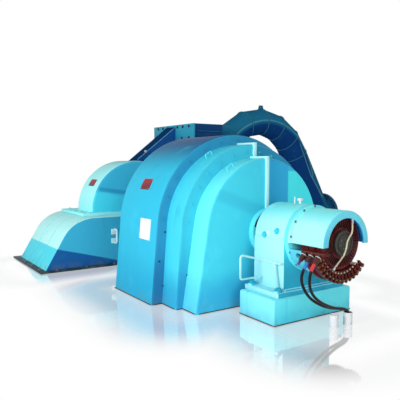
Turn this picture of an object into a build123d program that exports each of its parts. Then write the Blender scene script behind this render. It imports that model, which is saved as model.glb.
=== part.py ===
from build123d import *
import os
from math import acos, asin, atan2, cos, hypot, pi, radians, sin, sqrt, tan

# Horizontal impulse turbine and its generator on one shaft, in millimetres.
# The origin is on the floor under the shaft, at the middle of the generator hood.
# +X is to the right seen from the collector end, +Y runs along the shaft to the turbine.

# Shaft line and running clearances
SHAFT_Z = 820.0
SHAFT_R = 110.0
RUNNING_FIT = 0.05
SHAFT_CLEARANCE = 8.0
ROTOR_GAP = 12.0

# Generator hood: middle arch and the stepped end covers
HOOD_HALF = 487.0
HOOD_R = 1110.0
HOOD_FLARE = 80.0
HOOD_EDGE = 24.0
STEP_2_DROP = 124.0
STEP_2_FLARE = 66.0
STEP_2_LENGTH = 304.0
STEP_3_DROP = 162.0
STEP_3_FLARE = 146.0
STEP_3_LENGTH = 269.0
RIGHT_SET_BACK = 25.0
SPLIT_2_X = 45.0
SPLIT_3_X = 5.0
SPLIT_FLANGE_WIDTH = 40.0
SPLIT_FLANGE_PROUD = 22.0
SPLIT_FLANGE_RISE = 22.0
SPLIT_FLANGE_GAP = 1.0
SEAL_R = 264.0
SEAL_WALL = 36.0
SEAL_PROUD = 70.0
STAPLE_WIDTH = 90.0
STAPLE_HEIGHT = 48.0
STAPLE_D = 12.0
STAPLE_ANGLE = 31.0

# Bearings, front and rear
PLINTH_HALF = 548.0
PLINTH_HEIGHT = 262.0
PLINTH_LENGTH = 541.0
PLINTH_EDGE = 12.0
FRONT_PLINTH_Y = -1801.0
FOOT_HALF = 470.0
FOOT_HEIGHT = 60.0
FOOT_STEP = 14.0
FOOT_SHELF = 30.0
PAD_R = 42.0
PAD_INSET_X = 50.0
PAD_INSET_Y = 60.0
FOOT_LENGTH = 520.0
BEARING_R = 345.0
BEARING_LENGTH = 458.0
FRONT_BEARING_Y = -1708.0
LINER_WALL = 40.0
END_COVER = 52.0
CAP_EDGE = 30.0
REAR_BEARING_Y = 720.0
FOOT_AHEAD = 62.0

# Collector hood over the brush gear
COLLECTOR_R = 320.0
COLLECTOR_WALL = 24.0
COLLECTOR_FRONT_Y = -2200.0
COLLECTOR_RIM_R = 245.0
COLLECTOR_RIM = 18.0
COLLECTOR_SKIRT = 15.0
COLLECTOR_FLANGE_R = 344.0
COLLECTOR_FLANGE = 28.0

# Brush gear and terminals
DRUM_R = 262.0
DRUM_FRONT_Y = -2135.0
DRUM_LENGTH = 280.0
DRUM_GROOVE = 16.0
DISC_R = 125.0
DISC = 40.0
DISC_RIM = 18.0
DISC_BOSS = 55.0
DISC_GROOVE = 10.0
BRUSH_R = 380.0
BRUSH_FRONT_Y = -2150.0
BRUSH_LENGTH = 160.0
BRUSH_LIP_FRONT = 50.0
BRUSH_LIP_BACK = 40.0
BRUSH_GROOVE = 22.0
BRUSH_TOP_DROP = 78.0
BRUSH_RIGHT_DROP = 225.0
BRUSH_COUNT = 15
BRUSH_START_ANGLE = 201.0
BRUSH_SWEEP_ANGLE = 118.0
HOLDER_PROUD = 26.0
HOLDER_WIDTH = 26.0
HOLDER_INNER_R = 298.0
HOLDER_OVERHANG = 6.0
CLIP = 4.0
CLIP_PROUD = 14.0
CLIP_LENGTH = 16.0
CLAMP_SCREW_R = 7.0
CLAMP_SCREW = 12.0
BRACKET_R = 335.0
BRACKET_WALL = 35.0
BRACKET_HOLE_R = 38.0
BRACKET_HOLE_ANGLES = (205.0, 235.0, 270.0, 305.0, 335.0)
BOARD = 22.0
BOARD_REACH = 10.0
BOARD_END = 14.0
BOARD_INNER_GAP = 30.0
BOOT_R = 27.0
BOOT_NECK_R = 17.0
BOOT_OVER = 26.0
BOOT_LENGTH = 84.0
BOOT_Y = (-2045.0, -2135.0, -2222.0)
BOOT_OUT = 20.0
BOOT_TILT = 42.0

# Collector leads and floor conduits
LEAD_D = 28.0
EARTH_LEAD_D = 16.0
CONDUIT_R = 44.0
CONDUIT_WALL = 5.0
CONDUIT_HEIGHT = 125.0
CONDUIT_SEAL = 75.0
CONDUITS = ((-60.0, -2115.0), (120.0, -2135.0))
LEAD_PITCH = 32.0
LEAD_RUN = 40.0
LEAD_OVER_Z = 158.0
EARTH_LEAD_GAP = 16.0
EARTH_LUG = 26.0

# Oil fittings
OIL_PIPE_D = 22.0
OIL_BEND = 30.0
OIL_LOOP_Y = -1385.0
OIL_LOOP_REACH = 295.0
OIL_LOOP_LOW = 398.0
OIL_LOOP_HIGH = 655.0
OIL_RUN_Z = 582.0
OIL_RUN_GAP = 34.0
OIL_RUN_FRONT_Y = -1690.0
GAUGE_D = 26.0
GAUGE_COLLAR = 7.0
GAUGE_TOP_Y = -1606.0
GAUGE_FOOT_Y = -1664.0
CUP_AHEAD = 130.0
CUP_R = 30.0
CUP_HEIGHT = 24.0
CUP_STEM_R = 14.0
CUP_STEM = 32.0
ROD_R = 7.0
ROD_HEIGHT = 70.0
ROD_ASIDE = 40.0

# Turbine casing and discharge chute
CASING_FRONT_Y = 1876.0
CASING_REAR_Y = 3236.0
CASING_TOP = 757.0
CASING_LEFT_MARGIN = 100.0
CASING_RIGHT_MARGIN = 400.0
CHUTE_RUN = 750.0
KNEE_RUN = 486.0
KNEE_FALL = 287.0
BASE_PLATE = 22.0
BASE_LIP = 100.0
SPLIT_HEIGHT = 45.0
SPLIT_LIP = 185.0
SPLIT_FRONT_Y = 2090.0
SPLIT_REAR_Y = 3120.0
ARCH_R = 800.0
ARCH_FRONT_Y = 2200.0
ARCH_REAR_Y = 2836.0
ARCH_EDGE = 40.0
HUB_R = 330.0
HUB_PROUD = 60.0
POCKET_END = 20.0
GUARD_R = 270.0
GUARD_WALL = 40.0
HANDLE_X = -560.0
HANDLE_Z = 345.0
HANDLE_HEIGHT = 210.0
HANDLE_REACH = 80.0
HANDLE_D = 30.0
HANDLE_BEND = 28.0

# Nozzle chamber, its sloped duct and top box
DUCT_FRONT_Y = 2420.0
DUCT_WIDTH = 320.0
DUCT_FOOT_X = 95.0
DUCT_TOP = 2225.0
CHAMBER_INSET = 40.0
BOX_OFFSET = 112.0
BOX_WIDTH = 592.0
BOX_FRONT_Y = 1843.0
BOX_REAR_Y = 3190.0
BOX_BOTTOM = 1984.0
BOX_TOP = 2256.0
BOX_FLANGE = 32.0
BOX_FLANGE_LIP = 20.0
GROOVE_RISE = 120.0
GROOVE = 24.0
GROOVE_DEPTH = 14.0
GROOVE_START = 60.0
CHAMBER_WIDTH = 488.0

# Branch pipe in the runner plane
NOZZLE_ANGLE = 41.0
BEND_X = 2950.0
BEND_Z = 1200.0
BEND_ANGLES = (-41.0, -20.0, 0.0, 20.0, 40.0, 60.0)
BEND_REACH = (1200.0, 1215.0, 1209.0, 1170.0, 1118.0, 1074.0)
BEND_PIPE_R = (256.0, 256.0, 258.0, 264.0, 273.0, 280.0)
WALL_SLANT = 740.0
PIPE_FLANGE = 60.0
PIPE_FLANGE_LIP = 80.0
INLET_Z = 460.0
INLET_R = 335.0
INLET_FLANGE_R = 440.0
INLET_FLANGE = 70.0
INLET_BORE_R = 318.0
INLET_BORE_DEPTH = 200.0
INLET_X = 4820.0
INLET_BOLTS = 20
INLET_BOLT_R = 17.0
INLET_PCD = 810.0
Y_LEFT_X = 4030.0
Y_SEAM_Z = 1000.0
REDUCER_X = 3780.0
SADDLE_X = (2600.0, 4400.0)
SADDLE_WIDTH = 200.0
SADDLE_HALF = 330.0
SADDLE_RISE = 0.55
LUG = 70.0
LUG_THICK = 36.0
LUG_SUNK = 30.0
LUG_HOLE_R = 18.0

# Far enough out to hold the whole set
FAR = 9000.0

HOOD_FOOT = HOOD_R + HOOD_FLARE
STEP_2_R = HOOD_R - STEP_2_DROP
STEP_2_FOOT = STEP_2_R + STEP_2_FLARE
STEP_3_R = STEP_2_R - STEP_3_DROP
STEP_3_FOOT = STEP_3_R + STEP_3_FLARE
STEP_2_Y = -HOOD_HALF - STEP_2_LENGTH
STEP_3_Y = STEP_2_Y - STEP_3_LENGTH
PIPE_Y = (ARCH_FRONT_Y + ARCH_REAR_Y) / 2
DUCT_REAR_Y = DUCT_FRONT_Y + DUCT_WIDTH
SPLIT_TOP = CASING_TOP + SPLIT_HEIGHT
CASING_RIGHT = ARCH_R + CASING_RIGHT_MARGIN
SPLIT_LEFT = -ARCH_R - SPLIT_LIP
CHUTE_TOP_X = -ARCH_R - CASING_LEFT_MARGIN
CHUTE_FOOT_X = CHUTE_TOP_X - CHUTE_RUN
CHUTE_KNEE = (CHUTE_TOP_X - KNEE_RUN, CASING_TOP - KNEE_FALL)
BOX_LEFT = ARCH_R + BOX_OFFSET
BOX_RIGHT = BOX_LEFT + BOX_WIDTH
CHAMBER_RIGHT = BOX_LEFT + CHAMBER_WIDTH
BRUSH_TOP = SHAFT_Z - BRUSH_TOP_DROP


def slab(x0, x1, y0, y1, z0, z1):
    """Box between two corners."""
    return Pos((x0 + x1) / 2, (y0 + y1) / 2, (z0 + z1) / 2) * Box(x1 - x0, y1 - y0, z1 - z0)


def disc_y(radius, y0, y1, x=0.0, z=SHAFT_Z):
    """Cylinder along Y from y0 to y1."""
    return Pos(x, (y0 + y1) / 2, z) * Rot(90, 0, 0) * Cylinder(radius, y1 - y0)


def ring_y(outer, inner, y0, y1):
    """Ring about the shaft line from y0 to y1."""
    return disc_y(outer, y0, y1) - disc_y(inner, y0, y1)


def disc_x(radius, x0, x1, y=PIPE_Y, z=INLET_Z):
    """Cylinder along X from x0 to x1."""
    return Pos((x0 + x1) / 2, y, z) * Rot(0, 90, 0) * Cylinder(radius, x1 - x0)


def along_y(outline, y0, y1):
    """Solid with a closed outline in X and Z that runs from y0 to y1."""
    face = Plane.XZ * make_face(outline)
    return Pos(0, y1, 0) * extrude(face, y1 - y0)


def above(level, solid):
    """The part of a solid above a level."""
    return solid & slab(-FAR, FAR, -FAR, FAR, level, FAR)


def below(level, solid):
    """The part of a solid below a level."""
    return solid & slab(-FAR, FAR, -FAR, FAR, -FAR, level)


def left_of(x, solid):
    """The part of a solid left of x."""
    return solid & slab(-FAR, x, -FAR, FAR, -FAR, FAR)


def right_of(x, solid):
    """The part of a solid right of x."""
    return solid & slab(x, FAR, -FAR, FAR, -FAR, FAR)


def hood_arch(radius, foot, y0, y1):
    """Arch about the shaft whose sides run straight and tangent down to the floor."""
    angle = acos(radius / hypot(foot, SHAFT_Z)) - atan2(SHAFT_Z, foot)
    side = (radius * cos(angle), SHAFT_Z + radius * sin(angle))
    outline = Line((-foot, 0), (-side[0], side[1]))
    outline += ThreePointArc((-side[0], side[1]), (0, SHAFT_Z + radius), side)
    outline += Polyline(side, (foot, 0), (-foot, 0))
    return along_y(outline, y0, y1)


def round_rim(arch, face):
    """Rounds the outer rim of an arch at one end, but not along the floor."""
    rim = [edge for edge in face.edges() if edge.bounding_box().max.Z > 1]
    return fillet(arch.edges().filter_by(lambda edge: any(edge.is_same(other) for other in rim)), HOOD_EDGE)


def hood_cover(radius, foot, y0, y1):
    """Arch whose front rim is rounded."""
    arch = hood_arch(radius, foot, y0, y1)
    return round_rim(arch, arch.faces().sort_by(Axis.Y)[0])


def main_hood():
    """Middle arch of the generator hood, with the shaft passing through."""
    hood = hood_cover(HOOD_R, HOOD_FOOT, -HOOD_HALF, HOOD_HALF)
    return round_rim(hood, hood.faces().sort_by(Axis.Y)[-1]) - shaft_way(-HOOD_HALF, HOOD_HALF)


def shaft_way(y0, y1):
    """Clearance hole round the shaft."""
    return disc_y(SHAFT_R + SHAFT_CLEARANCE, y0, y1)


def staple(radius, y):
    """Bent lifting rod on the left shoulder of a cover."""
    half, sunk = STAPLE_WIDTH / 2, STAPLE_D
    points = [(-half, 0, -sunk), (-half, 0, STAPLE_HEIGHT), (half, 0, STAPLE_HEIGHT), (half, 0, -sunk)]
    path = FilletPolyline(*points, radius=STAPLE_D)
    rod = sweep(Plane(origin=points[0], z_dir=path % 0) * Circle(STAPLE_D / 2), path=path)
    return Pos(0, y, SHAFT_Z) * Rot(0, -STAPLE_ANGLE, 0) * Pos(0, 0, radius) * rod


def left_step_2():
    """Left half of the first step down from the hood, with its lifting staple."""
    cover = left_of(SPLIT_2_X, hood_cover(STEP_2_R, STEP_2_FOOT, STEP_2_Y, -HOOD_HALF)) - shaft_way(STEP_2_Y, 0)
    return cover + staple(STEP_2_R, (STEP_2_Y - HOOD_HALF) / 2)


def left_step_3():
    """Left half of the end cover, bored for the seal ring, with its lifting staple."""
    cover = left_of(SPLIT_3_X, hood_cover(STEP_3_R, STEP_3_FOOT, STEP_3_Y, STEP_2_Y))
    cover += staple(STEP_3_R, (STEP_3_Y + STEP_2_Y) / 2)
    return cover - disc_y(SEAL_R, STEP_3_Y, STEP_3_Y + RIGHT_SET_BACK) - shaft_way(STEP_3_Y, STEP_2_Y)


def right_step_2():
    """Right half of the first step, set back from the left one."""
    cover = hood_cover(STEP_2_R, STEP_2_FOOT, STEP_2_Y + RIGHT_SET_BACK, -HOOD_HALF)
    return right_of(SPLIT_2_X, cover) - shaft_way(STEP_2_Y, 0)


def right_step_3():
    """Right half of the end cover, set back and notched round the left step."""
    front, back = STEP_3_Y + RIGHT_SET_BACK, STEP_2_Y + RIGHT_SET_BACK
    cover = right_of(SPLIT_3_X, hood_cover(STEP_3_R, STEP_3_FOOT, front, back))
    notch = slab(SPLIT_3_X, SPLIT_2_X, STEP_2_Y, back, 0, SHAFT_Z + STEP_2_R)
    return cover - notch - shaft_way(front, back)


def split_flange(cover, radius, edge_x, front_y, rear_y, bottom):
    """Proud bar along the end edge of a left cover, down its front face and back over its crown."""
    bar = slab(edge_x - SPLIT_FLANGE_WIDTH, edge_x, front_y - SPLIT_FLANGE_PROUD, rear_y, bottom,
               SHAFT_Z + radius + SPLIT_FLANGE_RISE)
    return bar - cover


def split_flange_2():
    """Bar on the first step, above the end cover."""
    cover = hood_cover(STEP_2_R, STEP_2_FOOT, STEP_2_Y, -HOOD_HALF)
    bottom = SHAFT_Z + STEP_3_R + SPLIT_FLANGE_RISE + SPLIT_FLANGE_GAP
    return split_flange(cover, STEP_2_R, SPLIT_2_X, STEP_2_Y, -HOOD_HALF, bottom)


def split_flange_3():
    """Bar on the end cover, from the seal ring to the top."""
    cover = hood_cover(STEP_3_R, STEP_3_FOOT, STEP_3_Y, STEP_2_Y)
    bar = split_flange(cover, STEP_3_R, SPLIT_3_X, STEP_3_Y, STEP_2_Y, SHAFT_Z)
    return bar - disc_y(SEAL_R + SPLIT_FLANGE_GAP, STEP_3_Y - SPLIT_FLANGE_PROUD, STEP_3_Y)


def seal_ring():
    """Hollow ring round the shaft, seated in the left end cover."""
    return ring_y(SEAL_R, SEAL_R - SEAL_WALL, STEP_3_Y - SEAL_PROUD, STEP_3_Y + RIGHT_SET_BACK)


def plinth(y0):
    """Block that carries a bearing pedestal."""
    block = slab(-PLINTH_HALF, PLINTH_HALF, y0, y0 + PLINTH_LENGTH, 0, PLINTH_HEIGHT)
    return chamfer(block.edges().group_by(Axis.Z)[-1], PLINTH_EDGE)


def foot(y0):
    """Foot plate of a pedestal, with a raised pad at each corner bolt."""
    top = PLINTH_HEIGHT + FOOT_HEIGHT
    plate = slab(-FOOT_HALF, FOOT_HALF, y0, y0 + FOOT_LENGTH, PLINTH_HEIGHT, top - FOOT_STEP)
    plate += slab(-BEARING_R, BEARING_R, y0 + FOOT_SHELF, y0 + FOOT_LENGTH - FOOT_SHELF, top - FOOT_STEP, top)
    for x in (PAD_INSET_X - FOOT_HALF, FOOT_HALF - PAD_INSET_X):
        for y in (y0 + PAD_INSET_Y, y0 + FOOT_LENGTH - PAD_INSET_Y):
            plate += Pos(x, y, top - FOOT_STEP / 2) * Cylinder(PAD_R, FOOT_STEP)
    return plate


def pedestal(y0):
    """Pedestal body up to the bearing's split plane."""
    y1 = y0 + BEARING_LENGTH
    body = slab(-BEARING_R, BEARING_R, y0, y1, PLINTH_HEIGHT + FOOT_HEIGHT, SHAFT_Z)
    return body - disc_y(SHAFT_R + LINER_WALL, y0, y1)


def bearing_cap(y0):
    """Half-round bearing cap above the split plane, its rear edge rounded."""
    y1 = y0 + BEARING_LENGTH
    cap = chamfer(disc_y(BEARING_R, y0, y1).edges(), CAP_EDGE / 2)
    return above(SHAFT_Z, cap - disc_y(SHAFT_R + LINER_WALL, y0, y1))


def bearing_liner(y0):
    """Liner that the shaft runs in."""
    inner = SHAFT_R + RUNNING_FIT
    return ring_y(SHAFT_R + LINER_WALL, inner, y0, y0 + BEARING_LENGTH)


def end_cover():
    """Round cover on the collector end of the front bearing."""
    y0, y1 = FRONT_BEARING_Y - END_COVER, FRONT_BEARING_Y
    return ring_y(COLLECTOR_FLANGE_R, SHAFT_R + SHAFT_CLEARANCE, y0, y1)


def collector_hood():
    """Half-round hood with a flange at the back and an inward rim at its open front."""
    back = FRONT_BEARING_Y - END_COVER
    inner = COLLECTOR_R - COLLECTOR_WALL
    shell = ring_y(COLLECTOR_R, inner, COLLECTOR_FRONT_Y, back)
    shell += ring_y(COLLECTOR_FLANGE_R, inner, back - COLLECTOR_FLANGE, back)
    return above(SHAFT_Z - COLLECTOR_SKIRT, shell + collector_rim())


def collector_rim():
    """Inward rim of the collector hood."""
    return ring_y(COLLECTOR_R, COLLECTOR_RIM_R, COLLECTOR_FRONT_Y, COLLECTOR_FRONT_Y + COLLECTOR_RIM)


def collector_drum():
    """Drum on the shaft inside the brush gear, with two grooves round it."""
    y1 = DRUM_FRONT_Y + DRUM_LENGTH
    drum = disc_y(DRUM_R, DRUM_FRONT_Y, y1) - disc_y(SHAFT_R, DRUM_FRONT_Y, y1)
    for share in (0.3, 0.62):
        y = DRUM_FRONT_Y + share * DRUM_LENGTH
        drum -= ring_y(DRUM_R + 1, DRUM_R - DRUM_GROOVE, y, y + DRUM_GROOVE)
    return drum


def end_disc():
    """Disc on the end of the shaft, with a raised centre."""
    disc = disc_y(DISC_R, DRUM_FRONT_Y - DISC, DRUM_FRONT_Y)
    front = DRUM_FRONT_Y - DISC
    return disc - ring_y(DISC_R - DISC_RIM, DISC_R - DISC_BOSS, front, front + DISC_GROOVE)


def brush_ring():
    """Lower part ring that carries the brushes, its left end level and its right end lower."""
    y1 = BRUSH_FRONT_Y + BRUSH_LENGTH
    ring = ring_y(BRUSH_R, DRUM_R + ROTOR_GAP, BRUSH_FRONT_Y, y1)
    ring -= ring_y(BRUSH_R + 1, BRUSH_R - BRUSH_GROOVE, BRUSH_FRONT_Y + BRUSH_LIP_FRONT, y1 - BRUSH_LIP_BACK)
    ring -= slab(0, BRUSH_R, BRUSH_FRONT_Y, y1, SHAFT_Z - BRUSH_RIGHT_DROP, SHAFT_Z)
    return below(BRUSH_TOP, ring)


def holder_block():
    """Brush box in its own frame: X outwards along it, Y into the machine, Z across it."""
    length = BRUSH_R - HOLDER_INNER_R + HOLDER_OVERHANG
    body = Box(length, HOLDER_PROUD, HOLDER_WIDTH) - Pos(-length / 4, -HOLDER_PROUD / 2, 0) * Box(
        length / 3, HOLDER_PROUD / 2, HOLDER_WIDTH / 2)
    return chamfer(body.faces().sort_by(Axis.X)[-1].edges(), CLIP / 2)


def spring_clip():
    """Bent strip that stands over the front of a brush box."""
    reach, half = HOLDER_PROUD / 2 + CLIP_PROUD, HOLDER_WIDTH / 2
    outline = Polyline((half, 0), (half, reach), (-half, reach), (-half, 0), (CLIP - half, 0),
                       (CLIP - half, reach - CLIP), (half - CLIP, reach - CLIP), (half - CLIP, 0), (half, 0))
    strip = extrude(make_face(outline), CLIP_LENGTH)
    return Rot(0, 0, 180) * Rot(0, 90, 0) * strip


def brush_holders():
    """Brush boxes round the front of the ring, each with a spring clip and a clamp screw."""
    holders = []
    length = BRUSH_R - HOLDER_INNER_R + HOLDER_OVERHANG
    for index in range(BRUSH_COUNT):
        angle = BRUSH_START_ANGLE + BRUSH_SWEEP_ANGLE * index / (BRUSH_COUNT - 1)
        screw = Pos((length + CLAMP_SCREW) / 2, 0, 0) * Rot(0, 90, 0) * Cylinder(CLAMP_SCREW_R, CLAMP_SCREW)
        holder = holder_block() + Pos(length / 4, 0, 0) * spring_clip() + screw
        place = Pos(0, BRUSH_FRONT_Y - HOLDER_PROUD / 2, SHAFT_Z) * Rot(0, -angle, 0)
        holders.append(place * Pos(HOLDER_INNER_R + length / 2, 0, 0) * holder)
    return Compound(children=holders)


def brush_bracket():
    """Lower half shell between the end cover and the brush ring."""
    y0, y1 = BRUSH_FRONT_Y + BRUSH_LENGTH, FRONT_BEARING_Y - END_COVER
    shell = below(BRUSH_TOP, ring_y(BRACKET_R, BRACKET_R - BRACKET_WALL, y0, y1))
    for angle in BRACKET_HOLE_ANGLES:
        hole = Rot(0, -angle, 0) * Pos(BRACKET_R, 0, 0) * Rot(0, 90, 0) * Cylinder(BRACKET_HOLE_R, BRACKET_WALL * 3)
        shell -= Pos(0, (y0 + y1) / 2, SHAFT_Z) * hole
    return shell


def board_left():
    """Left end of the terminal board."""
    return -BRUSH_R - BOARD_REACH


def terminal_board():
    """Bar on the left end of the brush ring that the terminals hang from."""
    y0, y1 = BOOT_Y[-1] - BOOT_R - BOARD_END, BRUSH_FRONT_Y + BRUSH_LENGTH
    return slab(board_left(), -DRUM_R - BOARD_INNER_GAP, y0, y1, BRUSH_TOP, BRUSH_TOP + BOARD)


def boot_axis(y):
    """Frame at the top of a boot, its Z axis pointing down and out along the boot."""
    return Pos(-BRUSH_R - BOOT_OUT, y, BRUSH_TOP) * Rot(0, 180 + BOOT_TILT, 0)


def terminal_boots():
    """Three pear-shaped insulating boots over the outer edge of the terminal board."""
    boots, neck, mouth = [], BOOT_NECK_R, LEAD_D / 2 + 3
    shoulder = neck - BOOT_OVER
    profile = ThreePointArc((0, -BOOT_OVER), (neck * sin(pi / 4), shoulder - neck * cos(pi / 4)), (neck, shoulder))
    profile += Line((neck, shoulder), (neck, 0))
    profile += Spline((neck, 0), (BOOT_R, BOOT_LENGTH * 0.4), (mouth, BOOT_LENGTH))
    profile += Polyline((mouth, BOOT_LENGTH), (0, BOOT_LENGTH), (0, -BOOT_OVER))
    for y in BOOT_Y:
        boot = revolve(Plane.XZ * make_face(profile), Axis.Z)
        boots.append(boot_axis(y) * boot - terminal_board())
    return Compound(children=boots)


def route_radii(points):
    """Arc radius at each inner point: as large as its two runs allow."""
    points = [Vector(*point) for point in points]
    radii = []
    for before, here, after in zip(points, points[1:], points[2:]):
        turn = radians((here - before).get_angle(after - here))
        run = min((here - before).length, (after - here).length)
        radii.append(0.45 * run / tan(turn / 2))
    return radii


def tube(name, points, diameter):
    """Round tube along straight runs joined by tangent arcs."""
    radii = route_radii(points)
    path = FilletPolyline(*points, radius=radii)
    start = Plane(origin=points[0], z_dir=path % 0)
    solid = sweep(start * Circle(diameter / 2), path=path)
    section = 3.141593 * diameter**2 / 4
    print(name, "radii", [round(r) for r in radii], "length", round(path.length),
          "volume ratio", round(solid.volume / (section * path.length), 4))
    return solid


def lead_route(boot_y, points, side):
    """Route of a collector lead, straight out of its boot and down into the right-hand conduit."""
    x, y = CONDUITS[1][0], CONDUITS[1][1] + side * LEAD_PITCH / 2
    start = [tuple((boot_axis(boot_y) * Pos(0, 0, BOOT_LENGTH + run)).position) for run in (0, LEAD_RUN)]
    return start + points + [(x, y, LEAD_OVER_Z), (x, y, CONDUIT_SEAL)]


def lead_1():
    """Lead from the middle terminal."""
    points = [(-522, -2133, 573), (-523, -2132, 521), (-505, -2131, 467), (-467, -2130, 403),
              (-407, -2128, 341), (-330, -2126, 287), (-225, -2124, 234), (-100, -2121, 191)]
    return tube("lead_1", lead_route(BOOT_Y[1], points, 1), LEAD_D)


def lead_2():
    """Lead from the front terminal."""
    points = [(-497, -2217, 598), (-503, -2213, 546), (-498, -2208, 493), (-472, -2200, 431),
              (-415, -2190, 364), (-327, -2178, 303), (-220, -2166, 249), (-88, -2157, 197)]
    return tube("lead_2", lead_route(BOOT_Y[2], points, -1), LEAD_D)


def earth_route():
    """Route of the pale lead across the open collector end, from the hood rim to the brush ring."""
    y = DRUM_FRONT_Y - DISC - EARTH_LEAD_GAP
    return [(88, y, 1012), (91, y - 1, 962), (78, y - 4, 916), (42, y - 5, 880), (12, y - 5, 838),
            (4, y - 5, 780), (-22, y - 4, 722), (-66, y - 3, 676), (-112, y - 1, 640), (-152, y, 602)]


def earth_lead():
    """Pale lead across the open collector end."""
    return tube("earth_lead", earth_route(), EARTH_LEAD_D)


def lug_barrel(end, before, length):
    """Round lug in line with the end of the pale lead."""
    direction = Vector(*end) - Vector(*before)
    return extrude(Plane(origin=end, z_dir=direction) * Circle(EARTH_LEAD_D * 0.8), length)


def earth_lugs():
    """Lugs of the pale lead: one under the hood rim and one on a stud of the brush ring."""
    route = earth_route()
    top = lug_barrel(route[0], route[1], EARTH_LUG + 20) - collector_rim()
    end = route[-1]
    stud_y = BRUSH_FRONT_Y
    foot = lug_barrel(end, route[-2], EARTH_LUG)
    step = (Vector(*end) - Vector(*route[-2])).normalized() * (EARTH_LUG * 0.6)
    foot += disc_y(EARTH_LEAD_D * 0.6, end[1], stud_y, end[0] + step.X, end[2] + step.Z)
    return pair(top, foot)


def conduit(place):
    """Floor conduit stub, open at the top and sealed lower down."""
    x, y = place
    body = Pos(x, y, CONDUIT_HEIGHT / 2) * Cylinder(CONDUIT_R, CONDUIT_HEIGHT)
    depth = CONDUIT_HEIGHT - CONDUIT_SEAL
    return body - Pos(x, y, CONDUIT_SEAL + depth / 2) * Cylinder(CONDUIT_R - CONDUIT_WALL, depth)


def oil_run_x():
    """Where the oil pipe runs along the pedestal's left face."""
    return -BEARING_R - OIL_RUN_GAP


def oil_pipe():
    """Oil pipe that loops out from the left face of the front pedestal and runs forward along it."""
    out, run = -BEARING_R - OIL_LOOP_REACH, oil_run_x()
    points = [(-BEARING_R, OIL_LOOP_Y, OIL_LOOP_LOW), (out, OIL_LOOP_Y, OIL_LOOP_LOW),
              (out, OIL_LOOP_Y, OIL_LOOP_HIGH), (run, OIL_LOOP_Y, OIL_RUN_Z), (run, OIL_RUN_FRONT_Y, OIL_RUN_Z),
              (-BEARING_R, OIL_RUN_FRONT_Y, OIL_RUN_Z)]
    path = FilletPolyline(*points, radius=[OIL_BEND, OIL_BEND, OIL_BEND / 2, OIL_BEND / 2])
    return sweep(Plane(origin=points[0], z_dir=path % 0) * Circle(OIL_PIPE_D / 2), path=path)


def level_gauge():
    """Slanted gauge tube from the oil pipe down to the pedestal's foot, with a collar at its top."""
    x, floor = oil_run_x(), PLINTH_HEIGHT + FOOT_HEIGHT - FOOT_STEP
    rise = OIL_RUN_Z - floor
    slant = atan2(GAUGE_TOP_Y - GAUGE_FOOT_Y, rise)
    length = rise / cos(slant)
    tube_body = Pos(0, 0, length / 2) * Cylinder(GAUGE_D / 2, length + GAUGE_D)
    tube_body += Pos(0, 0, length - OIL_PIPE_D - GAUGE_D / 2) * Cylinder(GAUGE_D / 2 + GAUGE_COLLAR, GAUGE_D)
    gauge = Pos(x, GAUGE_FOOT_Y, floor) * Rot(-slant * 180 / pi, 0, 0) * tube_body
    gauge = below(OIL_RUN_Z, above(floor, gauge))
    return gauge - disc_y(OIL_PIPE_D / 2, OIL_RUN_FRONT_Y, OIL_LOOP_Y, x, OIL_RUN_Z)


def on_cap(radius, x, y, height):
    """Upright pin on the crown of the front bearing cap."""
    pin = Pos(x, y, SHAFT_Z + BEARING_R + height / 2 - radius) * Cylinder(radius, height + 2 * radius)
    return pin - disc_y(BEARING_R, y - CUP_AHEAD, y + CUP_AHEAD)


def oil_cup():
    """Oil cup and filler rod on top of the bearing cap."""
    y, top = FRONT_BEARING_Y + CUP_AHEAD, SHAFT_Z + BEARING_R + CUP_STEM
    cup = on_cap(CUP_STEM_R, 0, y, CUP_STEM) + Pos(0, y, top + CUP_HEIGHT / 2) * Cylinder(CUP_R, CUP_HEIGHT)
    return pair(cup, on_cap(ROD_R, -ROD_ASIDE, y + ROD_ASIDE, ROD_HEIGHT))


def base_plate():
    """Floor flange round the foot of the casing and chute."""
    return slab(CHUTE_FOOT_X - BASE_LIP, CASING_RIGHT + BASE_LIP, CASING_FRONT_Y - BASE_LIP,
                CASING_REAR_Y + BASE_LIP, 0, BASE_PLATE)


def discharge_chute():
    """Chute that falls from the casing top to the floor on the left."""
    radius = (KNEE_RUN**2 + KNEE_FALL**2) / (2 * KNEE_FALL)
    half = asin(KNEE_RUN / radius) / 2
    bulge = (CHUTE_TOP_X - radius * sin(half), CASING_TOP - radius * (1 - cos(half)))
    outline = Polyline((CHUTE_TOP_X, BASE_PLATE), (CHUTE_FOOT_X, BASE_PLATE), CHUTE_KNEE)
    outline += ThreePointArc(CHUTE_KNEE, bulge, (CHUTE_TOP_X, CASING_TOP))
    outline += Line((CHUTE_TOP_X, CASING_TOP), (CHUTE_TOP_X, BASE_PLATE))
    return along_y(outline, CASING_FRONT_Y, CASING_REAR_Y)


def shaft_pocket(y0):
    """Hole in the casing from y0, which ends a little past the turbine end of the shaft."""
    return shaft_way(y0, ARCH_FRONT_Y + POCKET_END)


def lower_casing():
    """Lower half of the turbine casing."""
    body = slab(CHUTE_TOP_X, CASING_RIGHT, CASING_FRONT_Y, CASING_REAR_Y, BASE_PLATE, CASING_TOP)
    return body - disc_y(HUB_R, CASING_FRONT_Y, SPLIT_FRONT_Y) - shaft_pocket(SPLIT_FRONT_Y)


def casing_split():
    """Flange between the lower casing and the upper cover."""
    plate = slab(SPLIT_LEFT, CASING_RIGHT, SPLIT_FRONT_Y, SPLIT_REAR_Y, CASING_TOP, SPLIT_TOP)
    return plate - shaft_pocket(SPLIT_FRONT_Y)


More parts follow.
